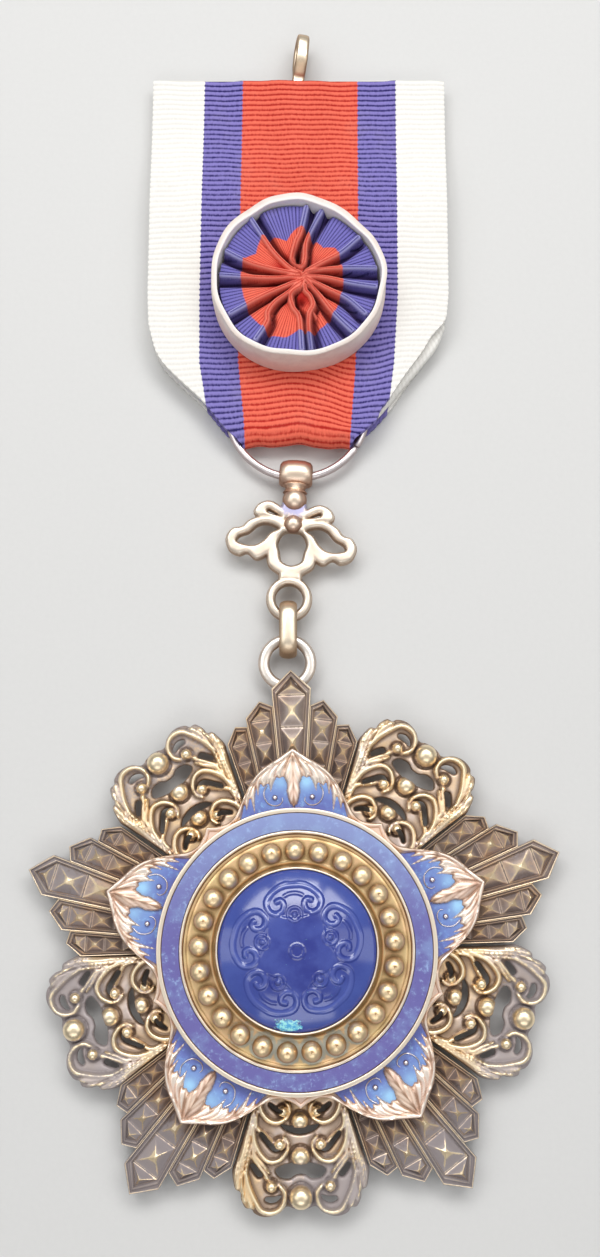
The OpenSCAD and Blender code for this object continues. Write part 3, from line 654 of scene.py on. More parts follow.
# %% The dome, as a cap of a sphere with that relief
DOME_EDGE, DOME_RISE, DOME_SUNK = 6.1, 2.2, 0.04
LINE_TALL, BED_DEEP, EDGE_DROP, EDGE_WIDE = 0.14, 0.1, 0.12, 0.35
dome_ball = (DOME_R**2 + DOME_RISE**2) / (2 * DOME_RISE)
height = DOME_EDGE - dome_ball + DOME_RISE + np.sqrt(dome_ball**2 - r**2) - DOME_SUNK
height = height + lines**2 * LINE_TALL - bed * BED_DEEP
height = height - EDGE_DROP * eased((r - DOME_R + EDGE_WIDE) / EDGE_WIDE) ** 2
rows = placed(STAR_X + x, STAR_Y + y, height)
skirt = rows[-1:].copy()
skirt[..., 2] = BEAD_FLOOR + CLEAR
under = skirt.copy()
under[..., :2] = [STAR_X, STAR_Y]
dome_points = np.concatenate([rows, skirt, under])
CHIP_X, CHIP_Y, CHIP_WIDE, CHIP_LONG = -0.95, -7.8, 1.5, 0.75
chip = bell(np.hypot((x - CHIP_X) / CHIP_WIDE, (y - CHIP_Y) / CHIP_LONG), 1, power=3)
dome_marks = {"line": np.vstack([lines, lines[-1:] * 0, lines[-1:] * 0]),
              "chip": np.vstack([chip, chip[-1:], chip[-1:] * 0])}
print("dome top at mm:", height.max().round(2))

# %% Cobalt glass, with turquoise in the chip
dome_glass = Finish("dome_enamel", Metallic=0.0, Coat_Weight=1.0, Coat_Roughness=0.13, IOR=1.45, Coat_IOR=1.68,
                    Specular_IOR_Level=0.1)
drift = dome_glass.noise(3.0, 4, 0.55)
grains = dome_glass.noise(0.09, 2, 0.5)
edge = dome_glass.node("VectorMath", {"operation": "DISTANCE"}, dome_glass.place(), (STAR_X, STAR_Y, 7), out="Value")
cobalt = dome_glass.mix(drift.between(0.35, 0.7), (0.014, 0.026, 0.235), (0.042, 0.068, 0.325))
cobalt = dome_glass.mix(edge.between(3.0, 8.4) * 0.6, cobalt, (0.055, 0.095, 0.38))
cobalt = dome_glass.mix(grains.between(0.6, 0.75) * 0.35, cobalt, (0.02, 0.02, 0.16))
raised = dome_glass.mark("line")
# painted shade on the flanks of the raised strokes, and a painted highlight on their crests
stroke_flank_shade = raised.between(0.02, 0.3) * (1 - raised.between(0.35, 0.8))
cobalt = dome_glass.mix(stroke_flank_shade * 0.3, cobalt, (0.015, 0.018, 0.15))
cobalt = dome_glass.mix(raised.between(0.7, 1.0) * 0.22, cobalt, (0.15, 0.19, 0.52))
missing = (dome_glass.mark("chip") + (dome_glass.noise(0.5, 4, 0.75) - 0.5) * 2.2).between(0.42, 0.58)
turquoise = dome_glass.mix(dome_glass.noise(0.3, 3).between(0.4, 0.6), (0.08, 0.42, 0.75), (0.35, 0.85, 0.85))
dome_glass.feed(Base_Color=dome_glass.mix(missing, cobalt, turquoise), Roughness=missing * 0.3 + 0.14)
dome_glass.bump(drift * 0.06 + grains * 0.002 - missing * 0.04)
make_piece("cobalt_dome", dome_points, grid_faces(len(dome_points), DOME_STEPS, False, True), dome_glass.material,
           ["dome"], "dome_enamel", marks=dome_marks, sharp=50)

# %% [markdown]
# ## The petal plate
# Under the medallion lies a plate of five lotus petals. Each petal has a raised leaf on its axis and four
# fluted tongues a side, which run from the tip and end as points in blue enamel. The plate is one ring-shaped
# grid: a height says how the metal rises into flutes or dips under the enamel. The enamel is a second, nearly
# level sheet, and where the metal comes up through it the border follows by itself.

# %% Petal outline and depth inside a shape
PETAL_HALF = [(0, 22.1), (4.7, 21.05), (9.7, 20.2), (13.7, 19.2), (17.4, 18), (20.9, 16.9), (24.5, 16.05),
              (28.5, 15.75), (33, 16.1), (36, 16.7)]


def petal_reach(angle):
    """The plate's radius at an angle in radians: the half outline, mirrored about each tip and each valley."""
    half = smooth_path(PETAL_HALF, 10)
    beside = np.abs((np.degrees(angle) - 90 + 36) % 72 - 36)
    return np.interp(beside, half[:, 0], half[:, 1])


def depth_inside(x, y, outline):
    """How deep a point lies inside a closed outline: its distance to the nearest side, negative outside.

    A point is inside where a line from it to the right crosses the outline an odd number of times.
    """
    a = np.array(outline, float)
    b = np.roll(a, -1, 0)
    away = to_pieces(x, y, a, b)[0].min(-1)
    x, y = x[..., None], y[..., None]
    spans = (a[:, 1] > y) != (b[:, 1] > y)
    rise = np.where(b[:, 1] == a[:, 1], 1, b[:, 1] - a[:, 1])
    left_of = x < a[:, 0] + (y - a[:, 1]) * (b[:, 0] - a[:, 0]) / rise
    return np.where((spans & left_of).sum(-1) % 2 == 1, away, -away)


print("petal tip and valley at radii of", petal_reach(np.radians([90, 126])).round(2), "mm")

# %% Where a petal's metal ends and its enamel begins, beside its axis
BAY = [(0.0, 15.5), (0.25, 15.65), (0.45, 16.1), (0.63, 16.7), (0.74, 17.3), (0.68, 17.8), (0.66, 18.1),
       (0.85, 18.5), (0.97, 18.85), (1.2, 18.95), (1.55, 18.75), (1.85, 18.95), (2.1, 18.5), (2.35, 17.9),
       (2.58, 17.2), (2.66, 17.9), (2.8, 18.3), (3.05, 18.05), (3.34, 17.8), (3.6, 18.15), (3.75, 18.2),
       (3.85, 17.6), (3.98, 16.8), (4.1, 17.5), (4.22, 17.9), (4.3, 17.1), (4.36, 16.2), (4.4, 14.9), (4.58, 15.7),
       (4.78, 16.6), (4.98, 16.5), (5.1, 15.9), (5.29, 15.2), (5.4, 15.8), (5.62, 15.9), (5.75, 15.2), (5.95, 14.2),
       (6.4, 13.9), (6.9, 13.6), (0, 13.3)]
CREASES = [[(0.32, 21.3), (0.75, 20.4), (1.15, 19.6), (1.35, 19.0)],
           [(0.5, 21.2), (1.3, 20.3), (1.9, 19.5), (2.1, 18.9)],
           [(0.8, 21.0), (1.9, 20.2), (2.6, 19.3), (2.85, 18.5)],
           [(1.1, 20.8), (2.6, 19.9), (3.4, 19.1), (3.72, 18.4)],
           [(1.5, 20.6), (3.2, 19.5), (4.0, 18.7), (4.22, 18.1)],
           [(2.0, 20.4), (3.9, 18.9), (4.6, 17.7), (4.8, 16.9)],
           [(2.6, 20.1), (4.5, 18.2), (5.15, 17.1), (5.5, 16.1)]]
LEAF = [(0, 21.5), (0.35, 20.8), (0.62, 20.2), (0.85, 19.6), (0.95, 18.95), (0.85, 18.5), (0.66, 18.1), (0.7, 17.75),
        (0.74, 17.3), (0.63, 16.7), (0.45, 16.1), (0.22, 15.7), (0, 15.55)]
leaf_outline = LEAF + [(-p, q) for p, q in LEAF[-2:0:-1]]

print("creases a side:", len(CREASES), "points round a leaf:", len(leaf_outline))

# %% The plate as a grid, and what each place is
PLATE_STEPS, PLATE_IN, PLATE_SKIN = 1080, 14.4, PLATE_TOP + 0.03
a = full_turn(PLATE_STEPS)[None] + np.pi / 2
reach = petal_reach(a)
r = PLATE_IN + (reach - PLATE_IN) * np.linspace(0, 1, 62)[:, None] ** 0.95
side, out = folded(r * np.cos(a), r * np.sin(a), 90)
beside = np.abs(side)
from_enamel, from_edge, in_leaf = -depth_inside(beside, out, BAY), reach - r, depth_inside(side, out, leaf_outline)
on_metal, on_leaf = from_enamel > 0, in_leaf > 0
crease = strokes(beside, out, CREASES, width=0.07, tip_width=0.13)
ridges = [[(0.55 * (p[0] + q[0]), 0.5 * (p[1] + q[1])) for p, q in zip(one, two)]
          for one, two in zip(CREASES, CREASES[1:])]
between = strokes(beside, out, ridges, width=0.1, tip_width=0.2)
print("metal covers", round(float(on_metal.mean()), 2), "of the plate and leaves", round(float(on_leaf.mean()), 2))

# %% The relief of the plate
# the metal bends up from the border, and dips under the enamel
METAL_TALL, METAL_BEND, DIP_SLOPE, DIP_DEEP = 0.34, 0.2, 1.7, -0.42
FLUTE_TALL, CREASE_DEEP, FLUTE_FROM = 0.05, 0.12, 0.3
rise = np.where(on_metal, METAL_TALL * (1 - np.exp(-from_enamel / METAL_BEND)),
                np.maximum(DIP_SLOPE * from_enamel, DIP_DEEP))
rise = rise + (FLUTE_TALL * between - CREASE_DEEP * crease) * eased(from_enamel / FLUTE_FROM)
# the leaf swells from its edge, with slanting veins and a midrib, and a groove runs round it
VEIN_TALL, VEIN_SLANT, VEIN_PITCH, MIDRIB_TALL, MIDRIB_HALF = 0.014, 0.35, 0.42, 0.07, 0.1
LEAF_TALL, LEAF_SWELL, LEAF_BEND, FLUTES_END, GROOVE_DEEP = 0.2, 0.26, 0.4, 19, 0.15
veins = VEIN_TALL * np.cos((beside + VEIN_SLANT * out) * 2 * np.pi / VEIN_PITCH) * eased(beside / 0.2)
veins = veins + MIDRIB_TALL * bell(beside, MIDRIB_HALF)
leaf_rise = LEAF_TALL + LEAF_SWELL * np.sqrt(np.clip(in_leaf, 0, LEAF_BEND) / LEAF_BEND) + veins * eased(in_leaf / 0.25)
rise = np.where(on_leaf, np.maximum(leaf_rise, rise * (out < FLUTES_END)), rise)
rise = rise - GROOVE_DEEP * bell(in_leaf + 0.1, 0.09) * on_metal * (in_leaf < 0)
# a rolled rim follows the plate's edge, which is rounded off
ROLL_TALL, ROLL_HALF, EDGE_DEEP, EDGE_ROUND = 0.12, 0.3, 0.3, 0.22
rise = rise + ROLL_TALL * half_round(from_edge - ROLL_HALF, ROLL_HALF) * on_metal
top = PLATE_SKIN + rise - EDGE_DEEP * np.clip(1 - from_edge / EDGE_ROUND, 0, 1) ** 2
rows = placed(r * np.cos(a), r * np.sin(a), top)
wall, inner = [rows[[i]] * [1, 1, 0] + [0, 0, PLATE_LOW] for i in (-1, 0)]
points = on_star(np.concatenate([rows, wall, inner]))
print("plate from", PLATE_LOW, "to", top.max().round(2), "mm high")

# %% How far the plate's metal stands proud of what is round it
near = sum(np.roll(top, shift, 1) for shift in (-8, -4, 0, 4, 8)) / 5
near = (np.vstack([near[3:], near[-3:]]) + np.vstack([near[:3], near[:-3]]) + near) / 3
proud = np.where(on_metal, (top - near) * 1.3 + 0.03, -0.1)
leaf_lines = 0.05 * np.cos((beside + 0.35 * out) * 2 * np.pi / 0.5) - 0.13 * bell(beside, 0.11)
proud = np.where(on_leaf, 0.01 + leaf_lines * eased(in_leaf / 0.2), proud)
# painted light: the metal of the northern petals is painted lighter
proud = proud + 0.07 * eased((r * np.sin(a) - 14) / 6) * on_metal
proud = np.vstack([proud, near[-2:] * 0])
make_piece("lotus_plate", points, grid_faces(len(points), PLATE_STEPS, True, True), petal_metal, ["petal_plate"],
           "pale_gilt", marks={"proud": proud}, sharp=65)

# %% The enamel of the petals, as one sheet
SHEET_IN, SHEET_BACK, SHEET_THICK = 14.3, 0.45, 0.45
a, reach = a[:, ::2], reach[:, ::2]
r = SHEET_IN + (reach - SHEET_BACK - SHEET_IN) * np.linspace(0, 1, 20)[:, None]
side, out = folded(r * np.cos(a), r * np.sin(a), 90)
dip = -0.05 * np.clip(1 - np.abs(depth_inside(np.abs(side), out, BAY)) / 0.3, 0, 1)
rows = placed(r * np.cos(a), r * np.sin(a), PLATE_SKIN + dip)
flat = [rows[[i]] * [1, 1, 0] + [0, 0, PLATE_TOP - SHEET_THICK] for i in (-1, 0)]
# the glass is brighter in a spot on each side of the leaf, and towards the tips
lit = bell(np.hypot(np.abs(side) - 1.45, out - 18.3), 0.7) * (0.4 + 0.4 * (side > 0))
lit = lit + 0.3 * eased((out - 15.2) / 3.0)
points = on_star(np.concatenate([rows] + flat))
make_piece("petal_glass", points, grid_faces(len(points), PLATE_STEPS // 2, True, True), petal_glass,
           [f"petal_enamel_{i}" for i in range(1, 6)], "petal_enamel", marks={"lit": np.vstack([lit, lit[-2:] * 0])})

# %% [markdown]
# ## Wire, strip and rod
# Thin wire curls lie on the enamel, and the ring, the link and the hook are bent from rod or strip. All of them
# are one section carried along a path. A curve with a bevel would do it too, but arrays let the section swell
# and shrink, and they close the ends to a point.

# %% Carrying a section along a path


def sweep(path, section, up, scale=None, ring=False):
    """Carries a closed section along a path: path + scale (u side + v over), side = along x up.

    An open sweep is closed at both ends by a row that shrinks to the path.
    """
    path = np.array(path, float)
    if ring:
        along = np.roll(path, -1, 0) - np.roll(path, 1, 0)
    else:
        along = np.gradient(path, axis=0)
    side = np.cross(along, np.broadcast_to(up, along.shape))
    side /= np.linalg.norm(side, axis=1)[:, None]
    over = np.cross(side, along)
    over /= np.linalg.norm(over, axis=1)[:, None]
    section = np.array(section, float)
    scale = (np.ones(len(path)) if scale is None else np.array(scale))[:, None, None]
    rows = path[:, None] + scale * (section[:, 0, None] * side[:, None] + section[:, 1, None] * over[:, None])
    if not ring:
        caps = [np.repeat(path[i][None, None], len(section), 1) for i in (0, -1)]
        rows = np.concatenate([caps[0], rows, caps[1]])
    return rows, grid_faces(rows.shape[0], rows.shape[1], ring, True)


def oval(width, tall, steps=12):
    """A closed oval section: (width/2 cos t, tall/2 sin t)."""
    t = full_turn(steps)
    return np.stack([width / 2 * np.cos(t), tall / 2 * np.sin(t)], 1)


print("points of an oval section:", len(oval(1, 1)))

# %% The wire curls and the pellets beside them
WIRE_LEVEL, PELLET_R, PELLET_AT = PLATE_TOP + 0.06, 0.32, [2.1, 16.6, PLATE_TOP + 0.08]
curl = smooth_path([(2.95, 18.0), (3.3, 17.3), (3.25, 16.6), (2.85, 15.95), (2.2, 15.7), (1.6, 15.8), (1.25, 16.2),
                    (1.3, 16.6)], 6)
curl = np.hstack([curl, np.full((len(curl), 1), WIRE_LEVEL)])
pellet = PELLET_R * ball(9, 12)[0] + PELLET_AT
wire, wire_faces = sweep(curl, oval(width=0.15, tall=0.2, steps=8), (0, 0, 1), np.linspace(1.2, 0.75, len(curl)))
curls = []
for k in range(5):
    for mirror in (1, -1):
        for grid, sides in ((wire, wire_faces), (pellet, grid_faces(9, 12, False, True))):
            curls.append((on_star(grid * [mirror, 1, 1], 72 * k), sides))
# like the metals without a proud mark, the wire is painted lighter on top and darker on its flanks: painted light and
# shade with wear
wire_metal = worn_metal("wire_gilt", (0.98, 0.93, 0.9), (0.72, 0.66, 0.72), (0.3, 0.28, 0.45), rough=(0.15, 0.3))
make_piece("wire_curls", *joined(curls), wire_metal, ["petal_plate"], "pale_gilt")

# %% [markdown]
# ## The rays
# Between the clouds stand five groups of rays. A ray is a narrow tray with a doubled rim and a row of cut
# pyramids, which ends in a small roof under the ray's tip. The rims are rings: the ray's outline drawn again
# and again further in, each at its own height. A pyramid is rings too, so that its edges stay straight.

# %% Rings of a ray
RAY_LOW, RAY_TOP, RIM_TOP, RAY_PEAK, RAY_ROOT = 1.1, 2.3, 2.8, 3.25, 13.0
STAR_R = 31.3
# inner side, outer side, tip in degrees; radii of the inner corner, the tip and the outer corner; rim width
RAYS = [(-4.5, 4.5, 0, STAR_R - 2.1, STAR_R, STAR_R - 2.1, 0.62),
        (4.5, 11.6, 7.6, STAR_R - 4.1, STAR_R - 3.35, STAR_R - 5, 0.48),
        (11.6, 18, 14.7, STAR_R - 6, STAR_R - 5.65, STAR_R - 7.3, 0.43)]


def radial(r, degrees):
    """The point at the radius r, turned clockwise by degrees from straight up."""
    t = np.radians(degrees)
    return np.stack(np.broadcast_arrays(r * np.sin(t), r * np.cos(t)), -1)


def ray_outline(shape, inset):
    """The five corners of a ray, drawn further in by inset: each side turns by inset / r, and each end drops."""
    inner, outer, tip, inner_r, tip_r, outer_r, _ = shape
    turn = [np.degrees(inset / r) for r in (RAY_ROOT, inner_r, outer_r)]
    return np.array([radial(RAY_ROOT, inner + turn[0]), radial(inner_r - 1.2 * inset, inner + turn[1]),
                     radial(tip_r - 1.5 * inset, tip), radial(outer_r - 1.2 * inset, outer - turn[2]),
                     radial(RAY_ROOT, outer - turn[0])])


def along_sides(corners, per_side):
    """Points along the straight sides of a closed outline, per_side on each."""
    t = np.linspace(0, 1, per_side, endpoint=False)[None, :, None]
    return (corners[:, None] * (1 - t) + np.roll(corners, -1, 0)[:, None] * t).reshape(-1, corners.shape[1])


print("corners of the longest ray:", ray_outline(RAYS[0], 0).round(1).tolist())

# %% A cut pyramid


def peak(corners, crest, low, high, dice, root_shading, rings=9, per_side=8):
    """A cut pyramid: rings crest + (edge - crest) s at the height low + (high - low)(1 - s)^1.12."""
    edge = along_sides(np.array(corners), per_side)
    s = np.append(np.linspace(1, 0.05, rings), 0)[:, None]
    flat = crest + (edge - crest)[None] * s[..., None]
    rise = (1 - s) ** 1.12 * (high - low) * (1 + dice.normal(0, 0.05))
    rise = np.minimum(rise, (high - low) * dice.uniform(0.90, 1.0))
    points = np.concatenate([flat, np.broadcast_to(low + rise, flat.shape[:2])[..., None]], -1)
    corner = np.abs(np.arange(len(edge)) % per_side / per_side - 0.5)[None] * 2
    facet = dice.normal(0, 0.03, 5)[:len(corners)]
    # two opposite facets are painted darker, and the facet towards the star's middle lighter or darker for its group:
    # painted shade
    facet = facet + np.append([-0.03, 0.0, -0.03, 0.0][:len(corners) - 1], root_shading)
    facet = facet[np.arange(len(edge)) // per_side]
    # bright along the foot, at the crest and up the four ridges, which are rubbed edges with painted glints, and each
    # facet a little different
    proud = 0.2 * s**14 - 0.06 * s**2 + 0.4 * (1 - s) ** 3.4 + 0.3 * corner**10 * (1 - s) ** 0.6 - 0.03
    return points, grid_faces(rings + 1, len(edge), False, True), proud + facet * (s < 0.97)


print("a pyramid stands up to", round(RAY_PEAK - RAY_TOP, 2), "mm over the ray's floor")

# %% One ray: its doubled rim, its pyramids and the roof under its tip
# share of the rim's width, and height there; then how far each of these rings is rubbed
RIM_STEPS = [(0, RAY_LOW), (0, RIM_TOP - 0.12), (0.05, RIM_TOP - 0.03), (0.12, RIM_TOP), (0.22, RIM_TOP - 0.02),
             (0.30, RIM_TOP - 0.14), (0.38, RIM_TOP - 0.27), (0.50, RIM_TOP - 0.25), (0.62, RIM_TOP - 0.08),
             (0.74, RIM_TOP - 0.03), (0.85, RIM_TOP - 0.12), (1.0, RAY_TOP)]
RIM_PROUD = [-0.06, 0.0, 0.07, 0.11, 0.05, -0.03, -0.08, -0.06, 0.0, 0.08, -0.02, -0.12]
SIDE_POINTS = 14
PYRAMIDS_FROM, PYRAMID_LONG, PYRAMID_LEAST, PYRAMID_GAP = 15.6, 1.12, 1.9, 0.06


def ray(shape, dice, root_shading):
    """One ray as parts with their marks. The rims are its outline again and again, each further in."""
    inner, outer, tip, inner_r, tip_r, outer_r, rim_width = shape
    rings = [along_sides(ray_outline(shape, share * rim_width), SIDE_POINTS) for share, _ in RIM_STEPS]
    rings.append(rings[-1] * 0 + radial(22, (inner + outer) / 2))
    rings.insert(0, rings[-1])
    heights = np.array([RAY_LOW] + [z for _, z in RIM_STEPS] + [RAY_TOP])[:, None]
    size = (len(rings), len(rings[0]))
    rims = np.concatenate([np.stack(rings), np.broadcast_to(heights, size)[..., None]], -1)
    rims[2:-1, :, 2] += 0.02 * np.sin(rims[2:-1, :, 0] * 2.3 + rims[2:-1, :, 1] * 1.7 + dice.uniform(0, 6))
    marks = np.broadcast_to(np.array([-0.1] + RIM_PROUD + [-0.1])[:, None], size)
    parts = [(rims, grid_faces(*size, False, True), marks)]
    edge = rim_width * 0.97
    top = min(inner_r, outer_r) - 1.3 * edge
    shoulder = top + 0.08
    width = top * np.radians(outer - inner) - 2 * edge
    for _ in range(4):
        root = top - max(width * PYRAMID_LONG, PYRAMID_LEAST)
        if root > PYRAMIDS_FROM:
            corners = [radial(r, side + sign * np.degrees(edge / r)) for r, side, sign in
                       ((root, inner, 1), (top, inner, 1), (top, outer, -1), (root, outer, -1))]
            crest = np.mean(corners, 0) + dice.normal(0, 0.04, 2)
            parts.append(peak(corners, crest, RAY_TOP - 0.02, RAY_PEAK - 0.05, dice, root_shading))
        top = root - PYRAMID_GAP
    corners = [radial(shoulder, inner + np.degrees(edge / shoulder)),
               radial(inner_r - 1.25 * edge, inner + np.degrees(edge / inner_r)), radial(tip_r - 1.6 * edge, tip),
               radial(outer_r - 1.25 * edge, outer - np.degrees(edge / outer_r)),
               radial(shoulder, outer - np.degrees(edge / shoulder))]
    crest = np.mean(corners, 0) * 0.6 + corners[2] * 0.4
    parts.append(peak(corners, crest, RAY_TOP, RAY_PEAK - 0.22, dice, root_shading, 6, 5))
    return parts


print("parts in the longest ray:", len(ray(RAYS[0], np.random.default_rng(0), 0.0)))

# %% The five groups of rays
# how grey each group is painted, from the top one round by the left: tarnish, and painted shade on the lower groups
RAY_HAZE_AND_SHADE = [0.3, 0.65, 1.0, 0.85, 0.45]
# how much lighter the facet towards the star's middle is painted: painted shade on the lower groups, where that facet
# faces the north lights
RAY_ROOT_SHADING = [0.02, -0.02, -0.11, -0.11, 0.0]
for group in range(5):
    dice = np.random.default_rng(20 + group)
    shapes = [RAYS[0]] + RAYS[1:] + [(-o, -i, -t, ro, rt, ri, w) for i, o, t, ri, rt, ro, w in RAYS[1:]]
    parts = [part for shape in shapes for part in ray(shape, dice, RAY_ROOT_SHADING[group])]
    points, faces = joined([(p, f) for p, f, _ in parts])
    proud = np.concatenate([np.ravel(m) for _, _, m in parts])
    haze = RAY_HAZE_AND_SHADE[group] * eased((np.hypot(points[:, 0], points[:, 1]) - 18) / 9) * (1 - eased((proud - 0.02) / 0.14))
    points = on_star(points, 72 * group + GROUP_LEAN[group])
    make_piece(f"ray_group_{group + 1}", points, faces, rays_metal, ["star_rays"], "tarnished_gilt", sharp=22,
               marks={"proud": proud, "haze": haze})

# %% The disc that carries the rays, and the ring at the top of the star
disc = rounded([(0, 0), (10, 0), (10, 0.9), (16.2, 0.9), (16.2, 1.6), (9, 1.6), (9, 3.3), (0, 3.3)], radius=0.12,
               steps=3, closed=False)
points, faces = lathe(disc, steps=160, closed=False)
make_piece("star_back", points, faces, rays_metal, ["star_rays"], "tarnished_gilt",
           marks={"proud": np.zeros(points.shape[:2])})
STAR_RING_AT, STAR_RING_R, STAR_RING_Z = (-0.85, -10.4), 2.72, 1.9
section = np.array([(STAR_RING_R, STAR_RING_Z)]) + oval(width=1.28, tall=0.85, steps=16)
make_piece("star_ring", *lathe(section, steps=96, centre=STAR_RING_AT), ring_metal, ["star_rays"], "silver")

# %% [markdown]
# ## The cloud panels
# The five panels are cast and pierced: scrolled clouds with balls, between leaves. Such a casting is a height
# over a flat outline, so it is a grid of points that is cut to the outline. Points of the cut edge are pulled
# onto the outline itself, along the slope of the depth, which leaves no steps.

# %% A casting


def cast(depth, height, box, pitch, low):
    """A pierced casting: z = height(x, y) where depth(x, y) > 0, with straight walls down to a flat back.

    Returns points, faces and how far each point stands proud of the blurred height round it.
    """
    x, y = np.meshgrid(np.arange(box[0], box[2], pitch), np.arange(box[1], box[3], pitch))
    count, shape = x.size, x.shape
    inside = (depth(x, y) > -0.4 * pitch).ravel()
    # whole cells become squares, and cells that lack one corner become triangles
    cells = grid_faces(*shape)
    held = inside[cells]
    quads, cut = cells[held.all(1)], held.sum(1) == 3
    tris = cells[cut][held[cut]].reshape(-1, 3)
    # an edge that no neighbour runs the other way is on the border
    edges = np.concatenate([np.stack([f[:, i], f[:, (i + 1) % f.shape[1]]], 1) for f in (quads, tris)
                            for i in range(f.shape[1])])
    border = edges[~np.isin(edges[:, 0] * count + edges[:, 1], edges[:, 1] * count + edges[:, 0])]
    # the border's points slide along the slope of the depth until the depth is 0
    x, y, rim, nudge = x.ravel(), y.ravel(), np.unique(border), pitch * 0.05
    for _ in range(3):
        here = depth(x[rim], y[rim])
        slope_x = (depth(x[rim] + nudge, y[rim]) - here) / nudge
        slope_y = (depth(x[rim], y[rim] + nudge) - here) / nudge
        x[rim], y[rim] = x[rim] - here * slope_x, y[rim] - here * slope_y
    z = height(x, y)
    # the blur: 14 times the mean of a point and its four neighbours, of those inside
    around, weight = (z * inside).reshape(shape), inside.astype(float).reshape(shape)
    for _ in range(14):
        around, weight = [(v + np.roll(v, 1, 0) + np.roll(v, -1, 0) + np.roll(v, 1, 1) + np.roll(v, -1, 1)) / 5
                          for v in (around, weight)]
    proud = z - (around / np.maximum(weight, 1e-6)).ravel()
    used, place_of = np.unique(np.concatenate([quads.ravel(), tris.ravel()])), np.zeros(count, int)
    place_of[used] = np.arange(len(used))
    quads, tris, border, total = place_of[quads], place_of[tris], place_of[border], len(used)
    front = np.stack([x, y, z], -1)[used]
    back = front * [1, 1, 0] + [0, 0, low]
    walls = np.stack([border[:, 1], border[:, 0], border[:, 0] + total, border[:, 1] + total], 1)
    faces = [quads, tris, quads[:, ::-1] + total, tris[:, ::-1] + total, walls]
    return np.concatenate([front, back]), faces, np.concatenate([proud[used], proud[used] * 0 - 0.05])


disc = cast(lambda x, y: 1 - np.hypot(x, y), lambda x, y: 0 * x + 1, (-1.2, -1.2, 1.2, 1.2), 0.1, 0)
print("a cast disc of radius 1 reaches", disc[0].max(0).round(2))

# %% The drawing of a cloud panel, as half of it with the axis upwards
CLOUD_HALF = [(3.95, 12.9), (5.38, 17.15), (6.32, 20.1), (7.08, 22.15), (7.38, 22.9), (7.3, 23.9), (7.05, 24.9),
              (6.5, 25.15), (6.45, 25.9), (6.0, 26.8), (5.35, 26.9), (5.05, 27.35), (4.3, 27.7), (3.4, 27.75),
              (2.5, 27.45), (1.9, 26.9), (1.35, 26.75), (0.8, 27.0), (0, 27.15)]
GAPS = [[(2.75, 23.0), (2.3, 23.85), (1.2, 24.0), (0.5, 23.6), (-0.5, 23.6), (-1.2, 24.0), (-2.3, 23.85),
         (-2.75, 23.0), (-1.8, 22.5), (-0.6, 22.3), (0.6, 22.3), (1.8, 22.5)],
        [(-2.1, 18.35), (-1.5, 19.1), (0, 19.45), (1.5, 19.1), (2.1, 18.35), (1.0, 18.55), (-1.0, 18.55)],
        [(2.15, 25.6), (2.4, 26.2), (3.2, 26.5), (3.9, 26.2), (3.75, 25.75), (3.0, 25.75)],
        [(4.05, 23.5), (4.5, 23.85), (5.0, 23.4), (5.45, 22.6), (5.1, 22.3), (4.6, 22.8)],
        [(2.05, 20.9), (2.5, 21.25), (3.1, 21.1), (3.8, 20.3), (4.4, 19.5), (4.15, 19.1), (3.5, 19.8), (2.9, 20.5)],
        [(1.75, 16.75), (2.1, 17.2), (2.7, 17.1), (3.4, 16.4), (3.2, 16.1), (2.5, 16.55)]]
CLOUD_CURLS = [[(5.95, 23.2), (5.6, 24.6), (5.0, 25.9), (4.3, 26.95), (3.3, 27.25), (2.3, 26.9), (1.75, 26.0),
                (1.8, 25.1), (2.4, 24.5), (3.0, 24.3)],
               [(5.1, 18.4), (4.95, 20.0), (4.3, 21.3), (3.4, 22.05), (2.35, 21.95), (1.6, 21.25), (1.4, 20.4),
                (1.75, 19.7)],
               [(4.5, 15.2), (4.25, 16.7), (3.5, 17.75), (2.5, 18.1), (1.65, 17.7), (1.2, 16.9), (1.35, 16.2)]]
CLOUD_LEAF = [(4.5, 14.6), (5.36, 17.0), (6.3, 20.0), (7.04, 22.0), (7.38, 23.3), (7.0, 24.9), (6.4, 26.2),
              (5.6, 27.0), (4.8, 26.9), (5.1, 25.7), (5.5, 24.5), (5.85, 23.4), (5.7, 22.2), (5.0, 21.9),
              (4.9, 21.0), (4.9, 19.5), (4.75, 17.5), (4.4, 16.0)]
LEAF_RIDGES = [[(4.85, 15.4), (5.5, 18.4), (6.35, 21.2), (6.95, 23.2), (6.85, 24.6)],
               [(4.85, 16.4), (5.4, 19.2), (6.1, 22.0), (6.4, 24.0), (6.1, 25.9)],
               [(4.8, 17.4), (5.2, 20.2), (5.8, 22.6), (5.9, 24.4), (5.3, 26.5)],
               [(4.9, 19.4), (5.1, 21.4), (4.6, 22.3), (3.9, 23.3), (3.3, 24.2)],
               [(4.6, 16.8), (4.7, 18.4), (3.9, 19.3), (2.9, 20.2)],
               [(3.4, 23.2), (4.1, 22.3), (4.9, 21.4), (5.1, 20.4)]]
LEAF_GROOVES = [[(5.1, 16.6), (5.9, 19.6), (6.7, 22.2), (7.0, 24.0)],
                [(5.05, 17.2), (5.7, 20.2), (6.4, 22.9), (6.6, 24.9)],
                [(5.0, 18.4), (5.5, 21.0), (6.1, 23.3), (6.05, 25.2), (5.7, 26.5)],
                [(5.2, 20.6), (5.6, 22.6), (5.7, 24.2), (5.1, 25.9), (4.5, 27.2)],
                [(4.75, 20.6), (4.5, 21.7), (3.8, 22.6), (3.1, 23.7)]]
